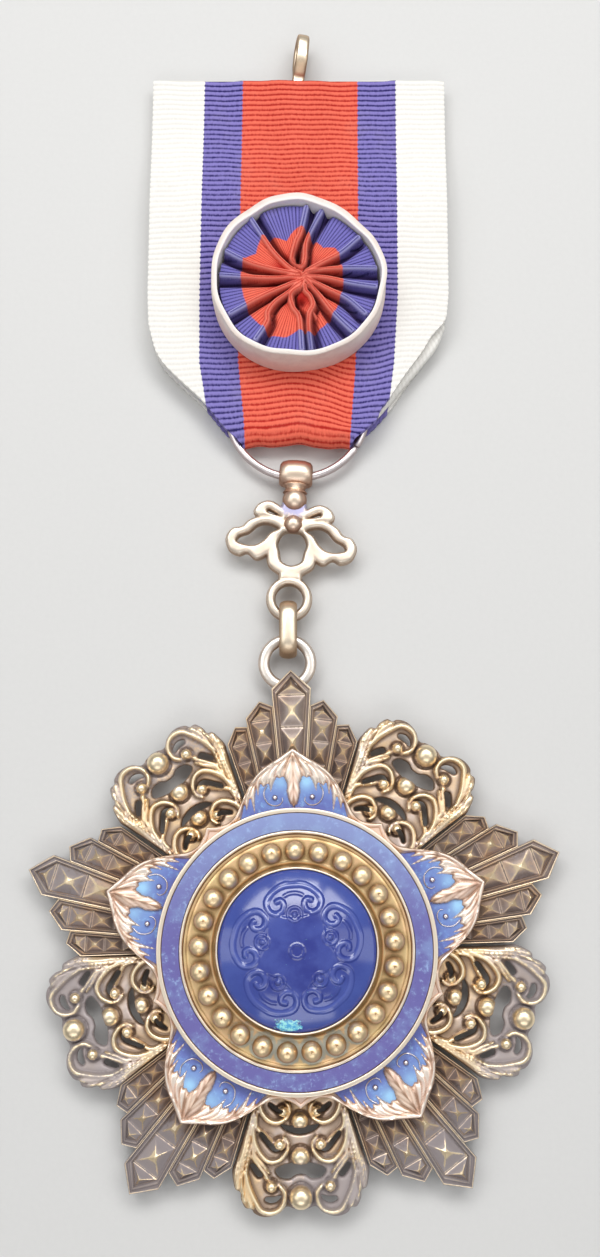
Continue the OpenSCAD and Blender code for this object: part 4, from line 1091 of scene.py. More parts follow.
# sideways place, distance from the star's centre, radius, height of the centre
CLOUD_BALLS = [(0, 25.75, 1.3, 2.6), (0, 21.65, 1.06, 2.6), (0, 18.0, 0.92, 2.6), (3.15, 24.6, 0.6, 2.95),
               (2.2, 20.35, 0.6, 2.95), (1.85, 16.95, 0.56, 2.95)]
half_edge = smooth_path(CLOUD_HALF[1:], 4)
cloud_edge = np.vstack([CLOUD_HALF[:1], half_edge, half_edge[-2::-1] * [-1, 1], [(-3.95, 12.9)]])
print("gaps:", len(GAPS), "curls a side:", len(CLOUD_CURLS), "balls on or beside the axis:", len(CLOUD_BALLS))

# %% A cloud panel's depth and height
CLOUD_FLOOR, CLOUD_BACK, CLOUD_BEND = 2.2, 1.7, 0.26
WEB_TALL, BROAD_TALL, RIDGE_TALL, LONE_RIDGE_TALL, VEIN_DEEP, MOAT_DEEP = 0.3, 0.62, 0.26, 0.85, 0.16, 0.25


def cloud_depth(x, y):
    """Inside the outline and outside every gap, whichever edge is nearer."""
    depth = depth_inside(x, y, cloud_edge)
    for number, gap in enumerate(GAPS):
        across = x if number < 2 else np.abs(x)
        depth = np.minimum(depth, -depth_inside(across, y, smooth_path(gap, 3, True)))
    return depth


def cloud_height(x, y):
    """A thin web, raised to broad leaves, with ridges and curls as strokes and the balls as caps of spheres."""
    beside = np.abs(x)
    edge = np.clip(1 - cloud_depth(x, y) / CLOUD_BEND, 0, 1)
    round_edge = np.sqrt(1 - edge**2)
    leaf = 1 - np.exp(-np.clip(depth_inside(beside, y, smooth_path(CLOUD_LEAF, 3, True)), 0, None) / 0.3)
    z = CLOUD_FLOOR + WEB_TALL * round_edge + 0.04 * np.sin(3 * beside + y)
    z = z + BROAD_TALL * leaf * (0.5 + 0.5 * round_edge)
    ridges = strokes(beside, y, LEAF_RIDGES, width=0.2, tip_width=0.38)
    z = np.maximum(z + RIDGE_TALL * ridges * leaf, CLOUD_FLOOR + 0.1 + LONE_RIDGE_TALL * ridges * round_edge)
    z = z - VEIN_DEEP * strokes(beside, y, LEAF_GROOVES, width=0.09, tip_width=0.1) * leaf
    for path in CLOUD_CURLS:
        z = np.maximum(z, CLOUD_FLOOR + stroke(beside, y, path, width=0.42, tall=0.98, tip_width=0.34))
    for across, up, radius, centre in CLOUD_BALLS:
        away = np.hypot(beside - across, y - up)
        z = z - MOAT_DEEP * bell(away - radius - 0.12, 0.14)
        z = np.where(away < radius, np.maximum(z, centre + np.sqrt(np.clip(radius**2 - away**2, 0, None))), z)
    return z


points, faces, proud = cast(cloud_depth, cloud_height, box=(-7.6, 12.8, 7.6, 28.1), pitch=0.125, low=CLOUD_BACK)
print("cloud panel up to", points[:, 2].max().round(2), "mm high")

# %% The five panels
proud = proud + 0.13 * (points[:, 2] - 2.95)
outer = eased((points[:, 1] - 18) / 7) * (1 - 0.6 * eased(proud / 0.35)) * (1 - 0.8 * eased((points[:, 2] - 3.1) / 0.3))
# how grey each panel is painted, and how much more so on one side: tarnish, and painted shade on the lower panels
for k, haze, tilt in zip(range(1, 6), (1.0, 0.65, 0.8, 0.35, 0.55), (0, -0.6, 0, 0, 0)):
    lean = (GROUP_LEAN[k % 5] + GROUP_LEAN[(k + 1) % 5]) / 2
    panel = on_star(points + [0, 0.15, 0], 36 + 72 * k + lean)
    make_piece(f"cloud_{k}", panel, faces, cloud_metal, [f"cloud_panel_{k}"], "cloud_gilt", sharp=60,
               marks={"proud": proud, "haze": haze * outer * (1 + tilt * np.tanh(points[:, 0] / 3))})

# %% [markdown]
# ## The suspension: ring, trefoil and link
# A silver wire ring hangs in the ribbon's fold and passes through the drum of a pierced trefoil. The trefoil
# is cast: its frames are round like wire, which is a height over the outline again, highest along the middle
# of each frame. A turned drum, a neck and two beads stand on it. A bent link joins its eye to the star.

# %% The wire ring, open at its joint


def above_star(x, y):
    """A place that is measured from straight above the star's centre."""
    return np.array([x, STAR_Y + y])


RING_AT, RING_R, RING_WIRE, RING_Z = above_star(0.3, 62.95), 8.3, 0.93, 1.6
a = np.radians(np.linspace(-32, 326.4, 180))
path = placed(RING_AT[0] + RING_R * np.cos(a), RING_AT[1] + RING_R * np.sin(a), RING_Z)
ends = np.concatenate([[0.8], np.ones(178), [0.8]])
make_piece("wire_ring", *sweep(path, oval(RING_WIRE, RING_WIRE, 20), (0, 0, 1), ends), silver_metal,
           ["suspension_ring"], "silver", sharp=50)

# %% Shapes of the trefoil: points are millimetres from its eye, before it leans
EYE_AT, TREFOIL_LEAN, WIRE_Z, DRUM_H = above_star(-0.65, 39.75), 3, 2.1, 15.25
LEFT_OUTER = [(-0.6, 9.2), (-1.8, 9.8), (-3.8, 9.9), (-5.3, 9.3), (-6.1, 8.5), (-7.2, 8.2), (-7.9, 7.0), (-7.4, 5.5),
              (-6.2, 4.9), (-5.2, 5.2), (-4.2, 4.5), (-3.1, 4.9), (-2.0, 6.0)]
LEFT_HOLE = [(-1.6, 8.4), (-3.0, 9.0), (-4.2, 8.7), (-5.2, 7.8), (-6.3, 7.3), (-6.6, 6.6), (-5.6, 6.2), (-4.4, 6.2),
             (-3.4, 6.8), (-2.6, 7.8)]
SMALL_OUTER = [(-0.6, 10.2), (-1.6, 11.2), (-2.9, 11.8), (-4.2, 11.4), (-4.8, 10.4), (-4.2, 9.6), (-2.8, 9.6),
               (-1.2, 9.2)]
SMALL_HOLE = [(-1.4, 9.85), (-2.8, 10.7), (-3.2, 10.55), (-2.9, 10.15)]
MIDDLE_OUTER = [(0, 8.8), (1.7, 8.6), (2.9, 7.0), (3.0, 5.4), (2.7, 3.9), (1.6, 3.0), (0, 2.2), (-1.6, 3.0),
                (-2.7, 3.9), (-3.0, 5.4), (-2.9, 7.0), (-1.7, 8.6)]
MIDDLE_HOLE = [(0, 8.1), (1.1, 7.9), (1.75, 6.7), (1.5, 5.5), (1.2, 4.4), (0, 3.9), (-1.2, 4.4), (-1.5, 5.5),
               (-1.75, 6.7), (-1.1, 7.9)]


def other_side(points):
    """The right petals: mirrored, and hung five degrees lower about the middle bead."""
    return turned(np.array(points) * [-1, 1] - [0, 9.3], -5) + [0, 9.3]


solids = [smooth_path(p, 4, True) for p in (LEFT_OUTER, SMALL_OUTER, other_side(LEFT_OUTER), other_side(SMALL_OUTER),
                                            MIDDLE_OUTER)]
solids += [[(-1.4, 2.0), (1.4, 2.0), (1.4, 3.4), (-1.4, 3.4)], [(-1.0, 8.4), (1.0, 8.4), (1.0, 13.7), (-1.0, 13.7)],
           [(-0.9, 13.6), (-2.0, 9.6), (2.0, 9.4), (0.9, 13.6)]]
holes = [smooth_path(p, 4, True) for p in (LEFT_HOLE, SMALL_HOLE, other_side(LEFT_HOLE), other_side(SMALL_HOLE),
                                           MIDDLE_HOLE)]
print("outlines of the trefoil:", len(solids), "and holes in it:", len(holes))

# %% The trefoil as a casting
EYE_OUT, EYE_IN, FRAME_HALF, FRAME_TALL, FRAME_SUNK = 2.7, 1.6, 0.62, 0.7, 0.1


def trefoil_depth(x, y):
    """Inside any of the petals, the stem or the eye, and outside their holes."""
    eye = np.hypot(x, y)
    depth = np.maximum.reduce([depth_inside(x, y, p) for p in solids] + [EYE_OUT - eye])
    return np.minimum.reduce([depth, eye - EYE_IN] + [0.12 - depth_inside(x, y, p) for p in holes])


def trefoil_height(x, y):
    """Round like wire: the height grows as a circle's does with the depth, up to half a frame."""
    deep = np.clip(trefoil_depth(x, y) / FRAME_HALF, 0, 1)
    return WIRE_Z - FRAME_SUNK + FRAME_TALL * np.sqrt(1 - (1 - deep) ** 3) + 0.02 * np.sin(2.1 * x + 1.3 * y)


def on_trefoil(points):
    """Leans points with the trefoil and puts them where its eye is."""
    return turned(points, -TREFOIL_LEAN, EYE_AT)


points, faces, proud = cast(trefoil_depth, trefoil_height, box=(-8.4, -2.9, 8.4, 14.0), pitch=0.1, low=WIRE_Z - 0.6)
violet = np.exp(-((points[:, 0] / 2.1) ** 2 + ((points[:, 1] - 11.3) / 1.7) ** 2))
make_piece("trefoil_frame", on_trefoil(points), faces, trefoil_metal, ["trefoil"], "pale_gilt", sharp=65,
           marks={"proud": proud, "violet": violet})

# %% Drum, neck and beads of the trefoil
turn = full_turn(48)[None]
across = np.array([-1.5, -1.82, -1.98, -1.93, -1.65, -0.95, 0, 0.95, 1.65, 1.93, 1.98, 1.82, 1.5])[:, None]
radius = np.array([0.62, 0.66, 0.9, 1.2, 1.5, 1.7, 1.75, 1.7, 1.5, 1.2, 0.9, 0.66, 0.62])[:, None]
# the hole for the ring lies a little under the drum's middle, and nearer to the petals
outer_share = np.clip((radius - 0.6) / 0.8, 0, 1)
middle_y, middle_z = DRUM_H - 0.33 * (1 - outer_share), RING_Z + 0.14 * outer_share
drum = placed(across, middle_y + radius * np.cos(turn), middle_z + radius * np.sin(turn))
globe, _, v = ball(25, 40)
neck_r = np.array([0, 1.35, 1.5, 1.3, 1.12, 1.3, 1.45, 1.2, 0])[:, None]
neck_y = np.array([13.95, 13.95, 13.75, 13.55, 13.3, 13.05, 12.85, 12.7, 12.7])[:, None]
neck = placed(neck_r * np.cos(v), neck_y, WIRE_Z + 0.85 * neck_r * np.sin(v))
large, small = globe * 1.45 + [0, DRUM_H - 3.3, WIRE_Z], globe * 1.1 + [0, DRUM_H - 6.3, WIRE_Z + 0.25]
# the drum is a tube, so its rows join up too, and the others close at their poles
parts = [(on_trefoil(grid), grid_faces(*grid.shape[:2], grid is drum, True)) for grid in (drum, large, small, neck)]
make_piece("trefoil_drum", *joined(parts), copper_metal, ["trefoil"], "copper_gilt", sharp=60)

# %% The link
LINK_LONG, LINK_TALL, LINK_WALL, LINK_WIDE = 6.85, 4.2, 1.05, 2.05
bend_r, half_straight = (LINK_TALL - LINK_WALL) / 2, (LINK_LONG - LINK_TALL) / 2
t = np.radians(np.linspace(-90, 90, 20))
turn_y, turn_z = half_straight + bend_r * np.cos(t), bend_r * np.sin(t)
path = np.stack([np.zeros(40), np.concatenate([turn_y, -turn_y]), np.concatenate([turn_z, -turn_z])], 1)
path += [*above_star(-0.75, 36.095), LINK_TALL / 2]
t = full_turn(24)
section = np.stack([LINK_WALL / 2 * np.sign(np.cos(t)) * np.abs(np.cos(t)) ** 0.95,
                    LINK_WIDE / 2 * np.sign(np.sin(t)) * np.abs(np.sin(t)) ** 0.95], 1)
make_piece("bent_link", *sweep(path, section, (1, 0, 0), ring=True), link_metal, ["link"], "copper_gilt", sharp=60)

# %% The hook, a strip bent over at the top
HOOK_AT, HOOK_W, HOOK_T, RIBBON_TOP, HOOK_LEVEL, HOOK_ROLL, HOOK_LEAN = 0.4, 1.5, 1.1, 106.8, 1.95, 9.5, -5
bend = np.radians(np.linspace(90, -90, 14))
climb = smooth_path([(98.8, 1.75), (103, 1.75), (106.9, 1.78), (108.0, 2.5), (109.2, 3.38), (111.0, 3.4)], 5)
over_top = np.stack([111.0 + 1.35 * np.cos(bend), 2.05 + 1.35 * np.sin(bend)], 1)[1:]
path = np.insert(np.vstack([climb, over_top, [(109.5, 0.7), (107.2, 0.7)]]), 0, 0, 1) - [0, RIBBON_TOP, HOOK_LEVEL]
corner = rounded([(-HOOK_T / 2, -HOOK_W / 2), (HOOK_T / 2, -HOOK_W / 2), (HOOK_T / 2, HOOK_W / 2),
                  (-HOOK_T / 2, HOOK_W / 2)], radius=0.35, steps=4)
rows, faces = sweep(path, corner, (1, 0, 0), np.concatenate([[0.7], np.ones(len(path) - 2), [0.7]]))
c, s = math.cos(math.radians(HOOK_ROLL)), math.sin(math.radians(HOOK_ROLL))
rows = np.stack([rows[..., 0] * c + rows[..., 2] * s, rows[..., 1], -rows[..., 0] * s + rows[..., 2] * c], -1)
rows = turned(rows, HOOK_LEAN, above_star(HOOK_AT, RIBBON_TOP)) + [0, 0, HOOK_LEVEL]
make_piece("hook_strip", rows, faces, link_metal, ["hook"], "pale_gilt", sharp=50)

# %% [markdown]
# ## The ribbon
# The ribbon is ribbed silk, folded once round the ring, with its lower corners tucked behind. It is one strip
# of grid rows from the top of the front, round the fold and up the back, and then home along the inside, so
# that it is closed. The rows follow the ribs, five to a rib, which keeps every rib straight in the mesh even
# where the cloth waves. The stripes are a colour by place across the cloth, held in the UV map.

# %% The cloth's outline and heights
RIBBON_W, RIBBON_T, FOLD_Y, PANEL_GAP, TOP_GAP, RIB = 37, 0.8, 58.5, 2.25, 1.15, 0.68
EDGE_Y = [58.4, 60.4, 62, 64.1, 68.4, 70.1, 73.5, 77.5, 107]
EDGE_LEFT = [0.31, 0.455, 0.52, 0.61, 0.855, 0.91, 0.957, 0.966, 0.966]
EDGE_RIGHT = [0.34, 0.44, 0.54, 0.65, 0.83, 0.895, 0.985, 1.007, 1.016]


def cloth_edge(y, share):
    """The half width of the folded cloth at a height, with the corners of the table worn round."""
    fine = np.linspace(58, 107, 400)
    width = np.interp(fine, EDGE_Y, share)
    blur = np.hanning(19)
    width = np.convolve(np.pad(width, 8, "edge"), blur[1:-1] / blur.sum(), "valid")
    return np.interp(y, fine, width) * RIBBON_W / 2


HOOK_LIFT, LIFT_WIDE, LIFT_FROM, LIFT_LONG = 1.6, 3.6, 90, 8.5


def over_hook(x, y):
    """How far the cloth rises to pass over the hook."""
    return HOOK_LIFT * bell(x - HOOK_AT, LIFT_WIDE) * eased((y - LIFT_FROM) / LIFT_LONG)


def front_level(x, y):
    """The height of the front panel's middle: level, pressed down at the top, raised over the hook, rippled."""
    level = PANEL_GAP + (TOP_GAP - PANEL_GAP) * eased((y - 89) / 11) + 0.5
    level = level + over_hook(x, y)
    wave = 0.2 * (1 + np.sin(np.radians(45 * (y - 0.35 * x)))) * bell(x - 3, 6) * eased((72 - y) / 6)
    return level + wave + 0.1 * np.sin(x / 4.1 + y / 9.0) * eased((104 - y) / 6)


def rib_sag(x, y):
    """How far the ribs run out of level: they sag right of the middle and climb at the right edge."""
    low = eased((76 - y) / 8)
    sag = -0.9 * bell(x - 7, 3.6) + 0.45 * bell(x + 1, 5) + 0.5 * eased((x - 9) / 6)
    return low * sag * eased((y - 58.2) / 4) + 0.08 * np.sin(x / 2.7 + y / 5) + 0.05 * np.sin(x * 1.3 + y / 3)


print("half widths at the fold and at the top:", cloth_edge(np.array([60, 105]), EDGE_LEFT).round(2), "mm")

# %% The strip of rows: down the front, round the fold and up the back
ACROSS, PER_RIB, BACK_Z = 46, 5, 0.5
u = np.linspace(-1, 1, ACROSS)[None]
fold_top = FOLD_Y + 0.6 * (1 - u**2) + 1.7 + 0.1 * np.sin(7 * u + 1) + 0.03 * np.sin(17 * u)
front_rows = int((RIBBON_TOP - FOLD_Y - 2) / RIB) * PER_RIB + 1


def from_middle(y, tucked=0):
    """The places across the cloth: u times the half width on that side, less what is tucked in at the right."""
    return np.where(u < 0, u * cloth_edge(y, EDGE_LEFT), u * (cloth_edge(y, EDGE_RIGHT) - tucked))


t = np.linspace(0, 1, front_rows)[:, None]
y_front = RIBBON_TOP + (fold_top - RIBBON_TOP) * t
x_front = from_middle(y_front, 0.9 * eased((y_front - 61.5) / 2) * eased((75 - y_front) / 4))
z_front = front_level(x_front, y_front)
a = np.linspace(0, np.pi, 22)[:, None]
mid = (z_front[-1:] + BACK_Z) / 2
y_fold = fold_top - (mid - BACK_Z) * np.sin(a) * 1.05 - 0.5 * np.sin(a)
x_fold, z_fold = from_middle(fold_top - 1.7 * np.sin(a)), mid + (mid - BACK_Z) * np.cos(a)
y_back = y_front[::-1] - 0.4 * (1 - t[::-1])
x_back = from_middle(y_back)
x_all = np.vstack([x_front, x_fold[1:-1], x_back])
y_all = np.vstack([y_front, y_fold[1:-1], y_back])
z_all = np.vstack([z_front, z_fold[1:-1], BACK_Z + 0 * x_back])
print("rows down the front:", front_rows, "and in all:", len(x_all))

# %% The ribs, which stand out of the strip along its normal
middle = ACROSS // 2 - 1
run = np.cumsum(np.hypot(*[np.diff(v[:, middle], prepend=v[0, middle]) for v in (y_all, z_all)]))[:, None] + 0 * x_all
rib = np.abs(np.sin(np.pi * (run / RIB))) ** 0.75
normal_y, normal_z = np.gradient(z_all, axis=0), -np.gradient(y_all, axis=0)
length = np.hypot(normal_y, normal_z)
outward = placed(0, normal_y / length, normal_z / length)
lifted = over_hook(x_all, y_all) * (np.arange(len(x_all))[:, None] < front_rows)
outer = placed(x_all + 0.12 * u**9 * (rib - 0.5), y_all + rib_sag(x_all, y_all) - 0.62 * lifted, z_all)
thick = RIBBON_T / 2
skin = outer + outward * (thick - 0.09 + 0.11 * rib)[..., None]
home = [45, 40, 34, 28, 22, 16, 10, 4, 0]
rows = np.concatenate([skin, (outer - outward * thick)[:, home]], 1) + [0, STAR_Y, 0]
print("ribs along the strip:", int(run.max() / RIB))

# %% Where each stripe runs, and the closed ends
STRIPE_Y = [58.4, 61.6, 68.6, 77, 107]
STRIPE_MIDDLE, STRIPE_SQUEEZE = [0.3, 0.3, 0.22, 0.45, 0.65], [0.86, 0.885, 0.973, 1.0, 1.0]
across = (x_all - np.interp(y_all, STRIPE_Y, STRIPE_MIDDLE)) / np.interp(y_all, STRIPE_Y, STRIPE_SQUEEZE)
uv = np.stack([across, run], -1)
uv = np.concatenate([uv, uv[:, home]], 1)
ribs = np.concatenate([rib, 0.7 + 0 * rib[:, home]], 1)


def capped(rows):
    """Adds a first and a last row that shrink to the middle of the row beside them, which closes the ends."""
    ends = [np.repeat(rows[i].mean(0, keepdims=True)[None], rows.shape[1], 1) for i in (0, -1)]
    return np.concatenate([ends[0], rows, ends[1]])


points, uv, ribs = capped(rows), np.concatenate([uv[:1], uv, uv[-1:]]), np.concatenate([ribs[:1], ribs, ribs[-1:]])
print("ribbon rows and columns:", points.shape[:2])

# %% Ribbed silk
# each dye as painted shade in the grooves, painted light on the crests, and a painted highlight along a fold
WHITES = [(0.73, 0.705, 0.66), (0.835, 0.815, 0.77), (0.9, 0.9, 0.9)]
BLUES = [(0.012, 0.007, 0.095), (0.225, 0.19, 0.50), (0.46, 0.45, 0.70)]
REDS = [(0.40, 0.010, 0.006), (0.80, 0.145, 0.088), (0.92, 0.27, 0.20)]


def silk(name, colour_of):
    """A ribbed silk. colour_of takes the finish, the cloth's place and the number of a tone, and gives a colour.

    The marks rib, deep and ridge say how high a point stands in its rib, how deep in a pleat, and if it is a
    fold's edge. The grooves are painted shade in tone 0, the crests painted light in tone 1, the pleats' depths
    painted shade, and the folds' edges a painted highlight in tone 2.
    """
    cloth = Finish(name, Metallic=0.0, Sheen_Weight=0.05, Sheen_Roughness=0.4, Specular_IOR_Level=0.2)
    place = cloth.node("UVMap", {"uv_map": "cloth"})
    thread = cloth.noise(1, 3.0, 0.7, cloth.stretched(place, (9, 1.6, 1)))
    soil = cloth.noise(4.0, 4, 0.6)
    weave = cloth.noise(1, 2.0, 0.7, cloth.stretched(place, (3.1, 1.5, 1)))
    # painted shade and light: the rib's grooves take tone 0 and its crests tone 1
    crest = (cloth.mark("rib") + (thread - 0.5) * 0.4 + (weave - 0.5) * 0.9).between(0.2, 0.95)
    colour = cloth.mix(crest, colour_of(cloth, place, 0), colour_of(cloth, place, 1))
    colour = cloth.mix(thread.between(0.5, 0.8) * 0.2, colour, colour_of(cloth, place, 0))
    colour = cloth.mix(soil.between(0.5, 0.8) * 0.08, colour, (0.5, 0.42, 0.33))
    # a painted highlight along the folds' edges, then painted shade deep in the pleats
    colour = cloth.mix(cloth.mark("ridge") * 0.8, colour, colour_of(cloth, place, 2))
    colour = cloth.mix(cloth.mark("deep") * 0.9, colour, cloth.mix(1.0, colour, (0.22, 0.09, 0.2), "MULTIPLY"))
    cloth.feed(Base_Color=colour, Roughness=0.78 - thread * 0.15)
    cloth.bump(thread * 0.03 + cloth.noise(0.12, 2) * 0.012)
    return cloth.material


RED_HALF, BLUE_HALF, BLEND = 7.3, 12.1, 0.1


def stripes(cloth, place, tone):
    """White at the edges, then blue, then red in the middle, by the distance from the cloth's middle."""
    away = cloth.axis("X", place).math("ABSOLUTE") + (cloth.noise(0.12, 2) - 0.5) * 0.14
    away = away + cloth.mark("rib") * 0.15
    inner = cloth.mix(away.between(RED_HALF, RED_HALF + BLEND), REDS[tone], BLUES[tone])
    return cloth.mix(away.between(BLUE_HALF, BLUE_HALF + BLEND), inner, WHITES[tone])


ribbon_silk = silk("ribbon_silk", stripes)
ribbon = make_piece("folded_ribbon", points, grid_faces(*points.shape[:2], ring_cols=True), ribbon_silk, ["ribbon"],
                    "ribbon_silk", sharp=75, marks={"rib": ribs}, uv=uv)

# %% [markdown]
# The lower corners of the cloth are tucked in behind the front panel, and at the right a strip of the folded
# edge shows along the slope, with its ribs across it. Each is a thin closed strip swept along the slope.

# %% Tucked corners
# each corner's path along the slope, how wide its strip is, and which place across the cloth gives its colour
CORNERS = {"right_tuck": ([(18.3, 73.6), (17.2, 71.0), (15.1, 68.3), (12.6, 65.3), (10.6, 62.8), (9.6, 61.7)], 1.9,
                          15.5),
           "left_tuck": ([(-16.0, 70.0), (-13.6, 67.0), (-11.2, 64.2), (-10.0, 62.9)], 1.4, -11.6)}
TUCK_LOW, TUCK_HIGH = 1.35, 1.75
for name, (edge_path, width, cloth_u) in CORNERS.items():
    line = smooth_path(edge_path, 26)
    inward = np.stack([-np.gradient(line[:, 1]), np.gradient(line[:, 0])], 1)
    inward = inward / np.linalg.norm(inward, axis=1)[:, None] * (1 if line[0, 0] < 0 else -1)
    t, across = np.linspace(0, 1, len(line))[:, None], np.linspace(0, 1, 9)[None]
    spread = across * width * np.sin(np.pi * np.clip(t * 0.94 + 0.03, 0, 1)) ** 0.45
    slanted = np.cumsum(np.r_[0, np.hypot(*np.diff(line, axis=0).T)])[:, None] + 0.7 * spread
    rib = np.abs(np.sin(np.pi * slanted / RIB)) ** 0.75
    x, y = line[:, :1] + inward[:, :1] * spread, line[:, 1:] + inward[:, 1:] * spread
    level = TUCK_HIGH + 0.35 * np.sqrt(np.clip(1 - (1 - across / 0.3) ** 2 * (across < 0.3), 0, 1)) + 0.09 * rib
    rows = capped(np.concatenate([placed(x, y, level), placed(x, y, TUCK_LOW)[:, ::-1]], 1)) + [0, STAR_Y, 0]
    uv = np.stack([np.full(rows.shape[:2], cloth_u), rows[..., 1]], -1)
    ribs = np.vstack([rib[:1] * 0, rib, rib[-1:] * 0])
    make_piece(name, rows, grid_faces(*rows.shape[:2], False, True), ribbon_silk, ["ribbon"],
                            "ribbon_silk", sharp=75, marks={"rib": np.hstack([ribs, ribs[:, ::-1]])}, uv=uv)

# %% [markdown]
# ## The rosette
# The rosette is a ribbon sewn into pleats that run to its middle, inside an upright band. The folds are not
# even, so each has its own angle. A fold is a narrow ridge with a hollow on its lower side, and the red of
# the ribbon's middle reaches out to a ragged border, further along some folds than along others.

# %% Where the rosette lies, and its outline
ROSETTE_AT, ROSETTE_D, ROSETTE_LOW, ROSETTE_H = above_star(0.4, 78), 20.8, 3.45, 4.0


def rosette_reach(a):
    """The band's outer radius: a circle, slightly three-sided, and flattened at the upper right."""
    degrees = np.degrees(a) % 360
    three_sided = 0.01 * np.cos(np.radians(3 * degrees + 45))
    return ROSETTE_D / 2 * (1 + three_sided - 0.035 * bell(degrees - 60, 35))


print("rosette radii:", rosette_reach(np.radians([0, 60, 180, 270])).round(2), "mm")

# %% The folds, and the border of the red
# each fold from the rim to the hub, then the way in which the cloth falls away from it into a dark pleat
FOLDS = [([(9.3, 1.1), (6.1, 1.2), (3.1, 1.1), (1.25, 0.75), (0.65, 0.4)], (0, -1)),
         ([(9.2, -1.3), (6.3, -0.75), (3.55, -0.05), (1.5, 0.2), (0.8, 0.25)], (0, -1)),
         ([(7.9, -4.65), (5.85, -2.7), (3.55, -1.45), (1.7, -0.4), (0.9, 0)], (-0.5, -0.85)),
         ([(6.4, -6.95), (4.25, -4.65), (2.6, -2.35), (1.25, -0.6), (0.8, -0.15)], (-0.8, -0.6)),
         ([(1.5, -9.2), (1.2, -6.25), (1.3, -4.65), (1.8, -3.5), (1.5, -2.35), (0.9, -1.65), (0.8, -0.95)], (1, 0)),
         ([(0.45, -9.2), (0.3, -6.7), (0.1, -4.9), (-0.6, -3.75), (-0.95, -2.35), (-0.5, -1.65), (0.3, -1.1),
           (0.6, -0.3)], (1, 0)),
         ([(-5.0, -7.9), (-3.7, -5.7), (-3.6, -4.4), (-2.8, -3.15), (-1.5, -2.1), (-0.6, -1.3), (0.45, -0.4)],
          (0.9, -0.4)),
         ([(-8.0, -4.65), (-5.45, -3.05), (-3.35, -1.9), (-1.05, -0.85), (0.45, -0.15)], (0.3, -0.95)),
         ([(-9.6, 0.2), (-6.1, 0.05), (-3.15, -0.05), (-0.85, 0.15), (0.45, 0.2)], (0, -1)),
         ([(-8.9, 3.4), (-5.9, 1.9), (-3.15, 1.1), (-1.05, 0.65), (0.45, 0.4)], (-0.2, -1)),
         ([(-5.6, 7.4), (-3.8, 4.55), (-2.65, 2.95), (-1.05, 1.35), (0.3, 0.6)], (0.8, 0.5)),
         ([(1.0, 9.0), (0.3, 5.85), (-0.25, 4.55), (-0.7, 2.7), (-0.6, 2.0), (0.2, 1.45)], (1, 0)),
         ([(2.9, 8.6), (1.5, 5.95), (0.9, 4.35), (0.8, 2.7), (0.65, 1.8), (0.3, 1.35)], (0.9, -0.4)),
         ([(7.2, 5.0), (5.15, 3.2), (3.1, 2.05), (1.0, 0.9)], (0.4, -0.9))]
RED_EDGE = [(-0.1, 6.9), (-1.4, 5.1), (-4.5, 5.6), (-5.2, 3.4), (-6.7, 2.7), (-6.9, -1.0), (-6.5, -2.8),
            (-5.7, -4.9), (-4.3, -6.2), (-3.5, -7.3), (-1.4, -7.6), (-0.1, -6.7), (1.6, -7.1), (3.2, -6.1),
            (4.2, -4.7), (5.1, -2.5), (5.5, 0.5), (5.3, 2.2), (4.6, 4.2), (3.1, 4.2), (1.6, 5.4), (0.9, 6.7)]
print("folds:", len(FOLDS))

# %% Height of the pleats


def away_from(x, y, path):
    """The distance to the nearest piece of a smooth path."""
    line = smooth_path(path, 5)
    return to_pieces(x, y, line[:-1], line[1:])[0].min(-1)


DISC_STEPS = 560
a = full_turn(DISC_STEPS)[None]
share = np.linspace(0.02, 1, 60)[:, None]
r = (rosette_reach(a) - 0.95) * share
x, y = r * np.cos(a), r * np.sin(a) - 0.15
ridge, hollow, beside_fold = 0 * r, 0 * r, 0 * r + 9
for path, (fall_x, fall_y) in FOLDS:
    away = away_from(x, y, path)
    shift = 0.42 + 0.05 * r
    fallen = away_from(x - fall_x * shift, y - fall_y * shift, path)
    ridge = np.maximum(ridge, bell(away, 0.34, 3))
    hollow = np.maximum(hollow, bell(fallen, 0.17 + 0.026 * r))
    beside_fold = np.minimum(beside_fold, away)
hollow = hollow * (1 - ridge) * eased((share - 0.03) / 0.2)
# two holes by the hub, where the cloth is drawn down
pit = np.exp(-(((x + 0.1) / 0.33) ** 2 + ((y - 2.75) / 0.85) ** 2))
pit = pit + 0.6 * np.exp(-(((x - 0.35) / 0.4) ** 2 + ((y + 3.1) / 0.5) ** 2))
ribs_round = np.abs(np.sin(a * 63 + 0.6 * np.sin(3 * a))) ** 0.8 * eased((share - 0.2) / 0.3)
# beside each fold, lines that the silk paints as a highlight; rib also tells the silk where to paint shade and light
fold_edge = bell(beside_fold - 0.2, 0.085)
rib = np.where(beside_fold < 0.4, 0.68 + 0.32 * fold_edge - 0.25 * bell(beside_fold, 0.09), 0.2 + 0.8 * ribs_round)
FOLD_TALL, HOLLOW_DEEP, PIT_DEEP, PLEAT_RIB = 0.62, 1.15, 1.3, 0.05
DISC_BELOW, HUB_DEEP, HUB_SHARE, DISH = 1.45, 0.35, 0.1, 0.3
rise = FOLD_TALL * ridge - HOLLOW_DEEP * hollow - PIT_DEEP * pit + PLEAT_RIB * rib
top = ROSETTE_LOW + ROSETTE_H - DISC_BELOW + rise
top = top - HUB_DEEP * eased((HUB_SHARE - share) / HUB_SHARE) + DISH * share**2
# how deep a point lies in a pleat's hollow or a pit, which the silk paints darker: painted shade
deep = np.clip(hollow**0.7 + pit * 1.2, 0, 1)
print("pleats from", top.min().round(2), "to", top.max().round(2), "mm high")

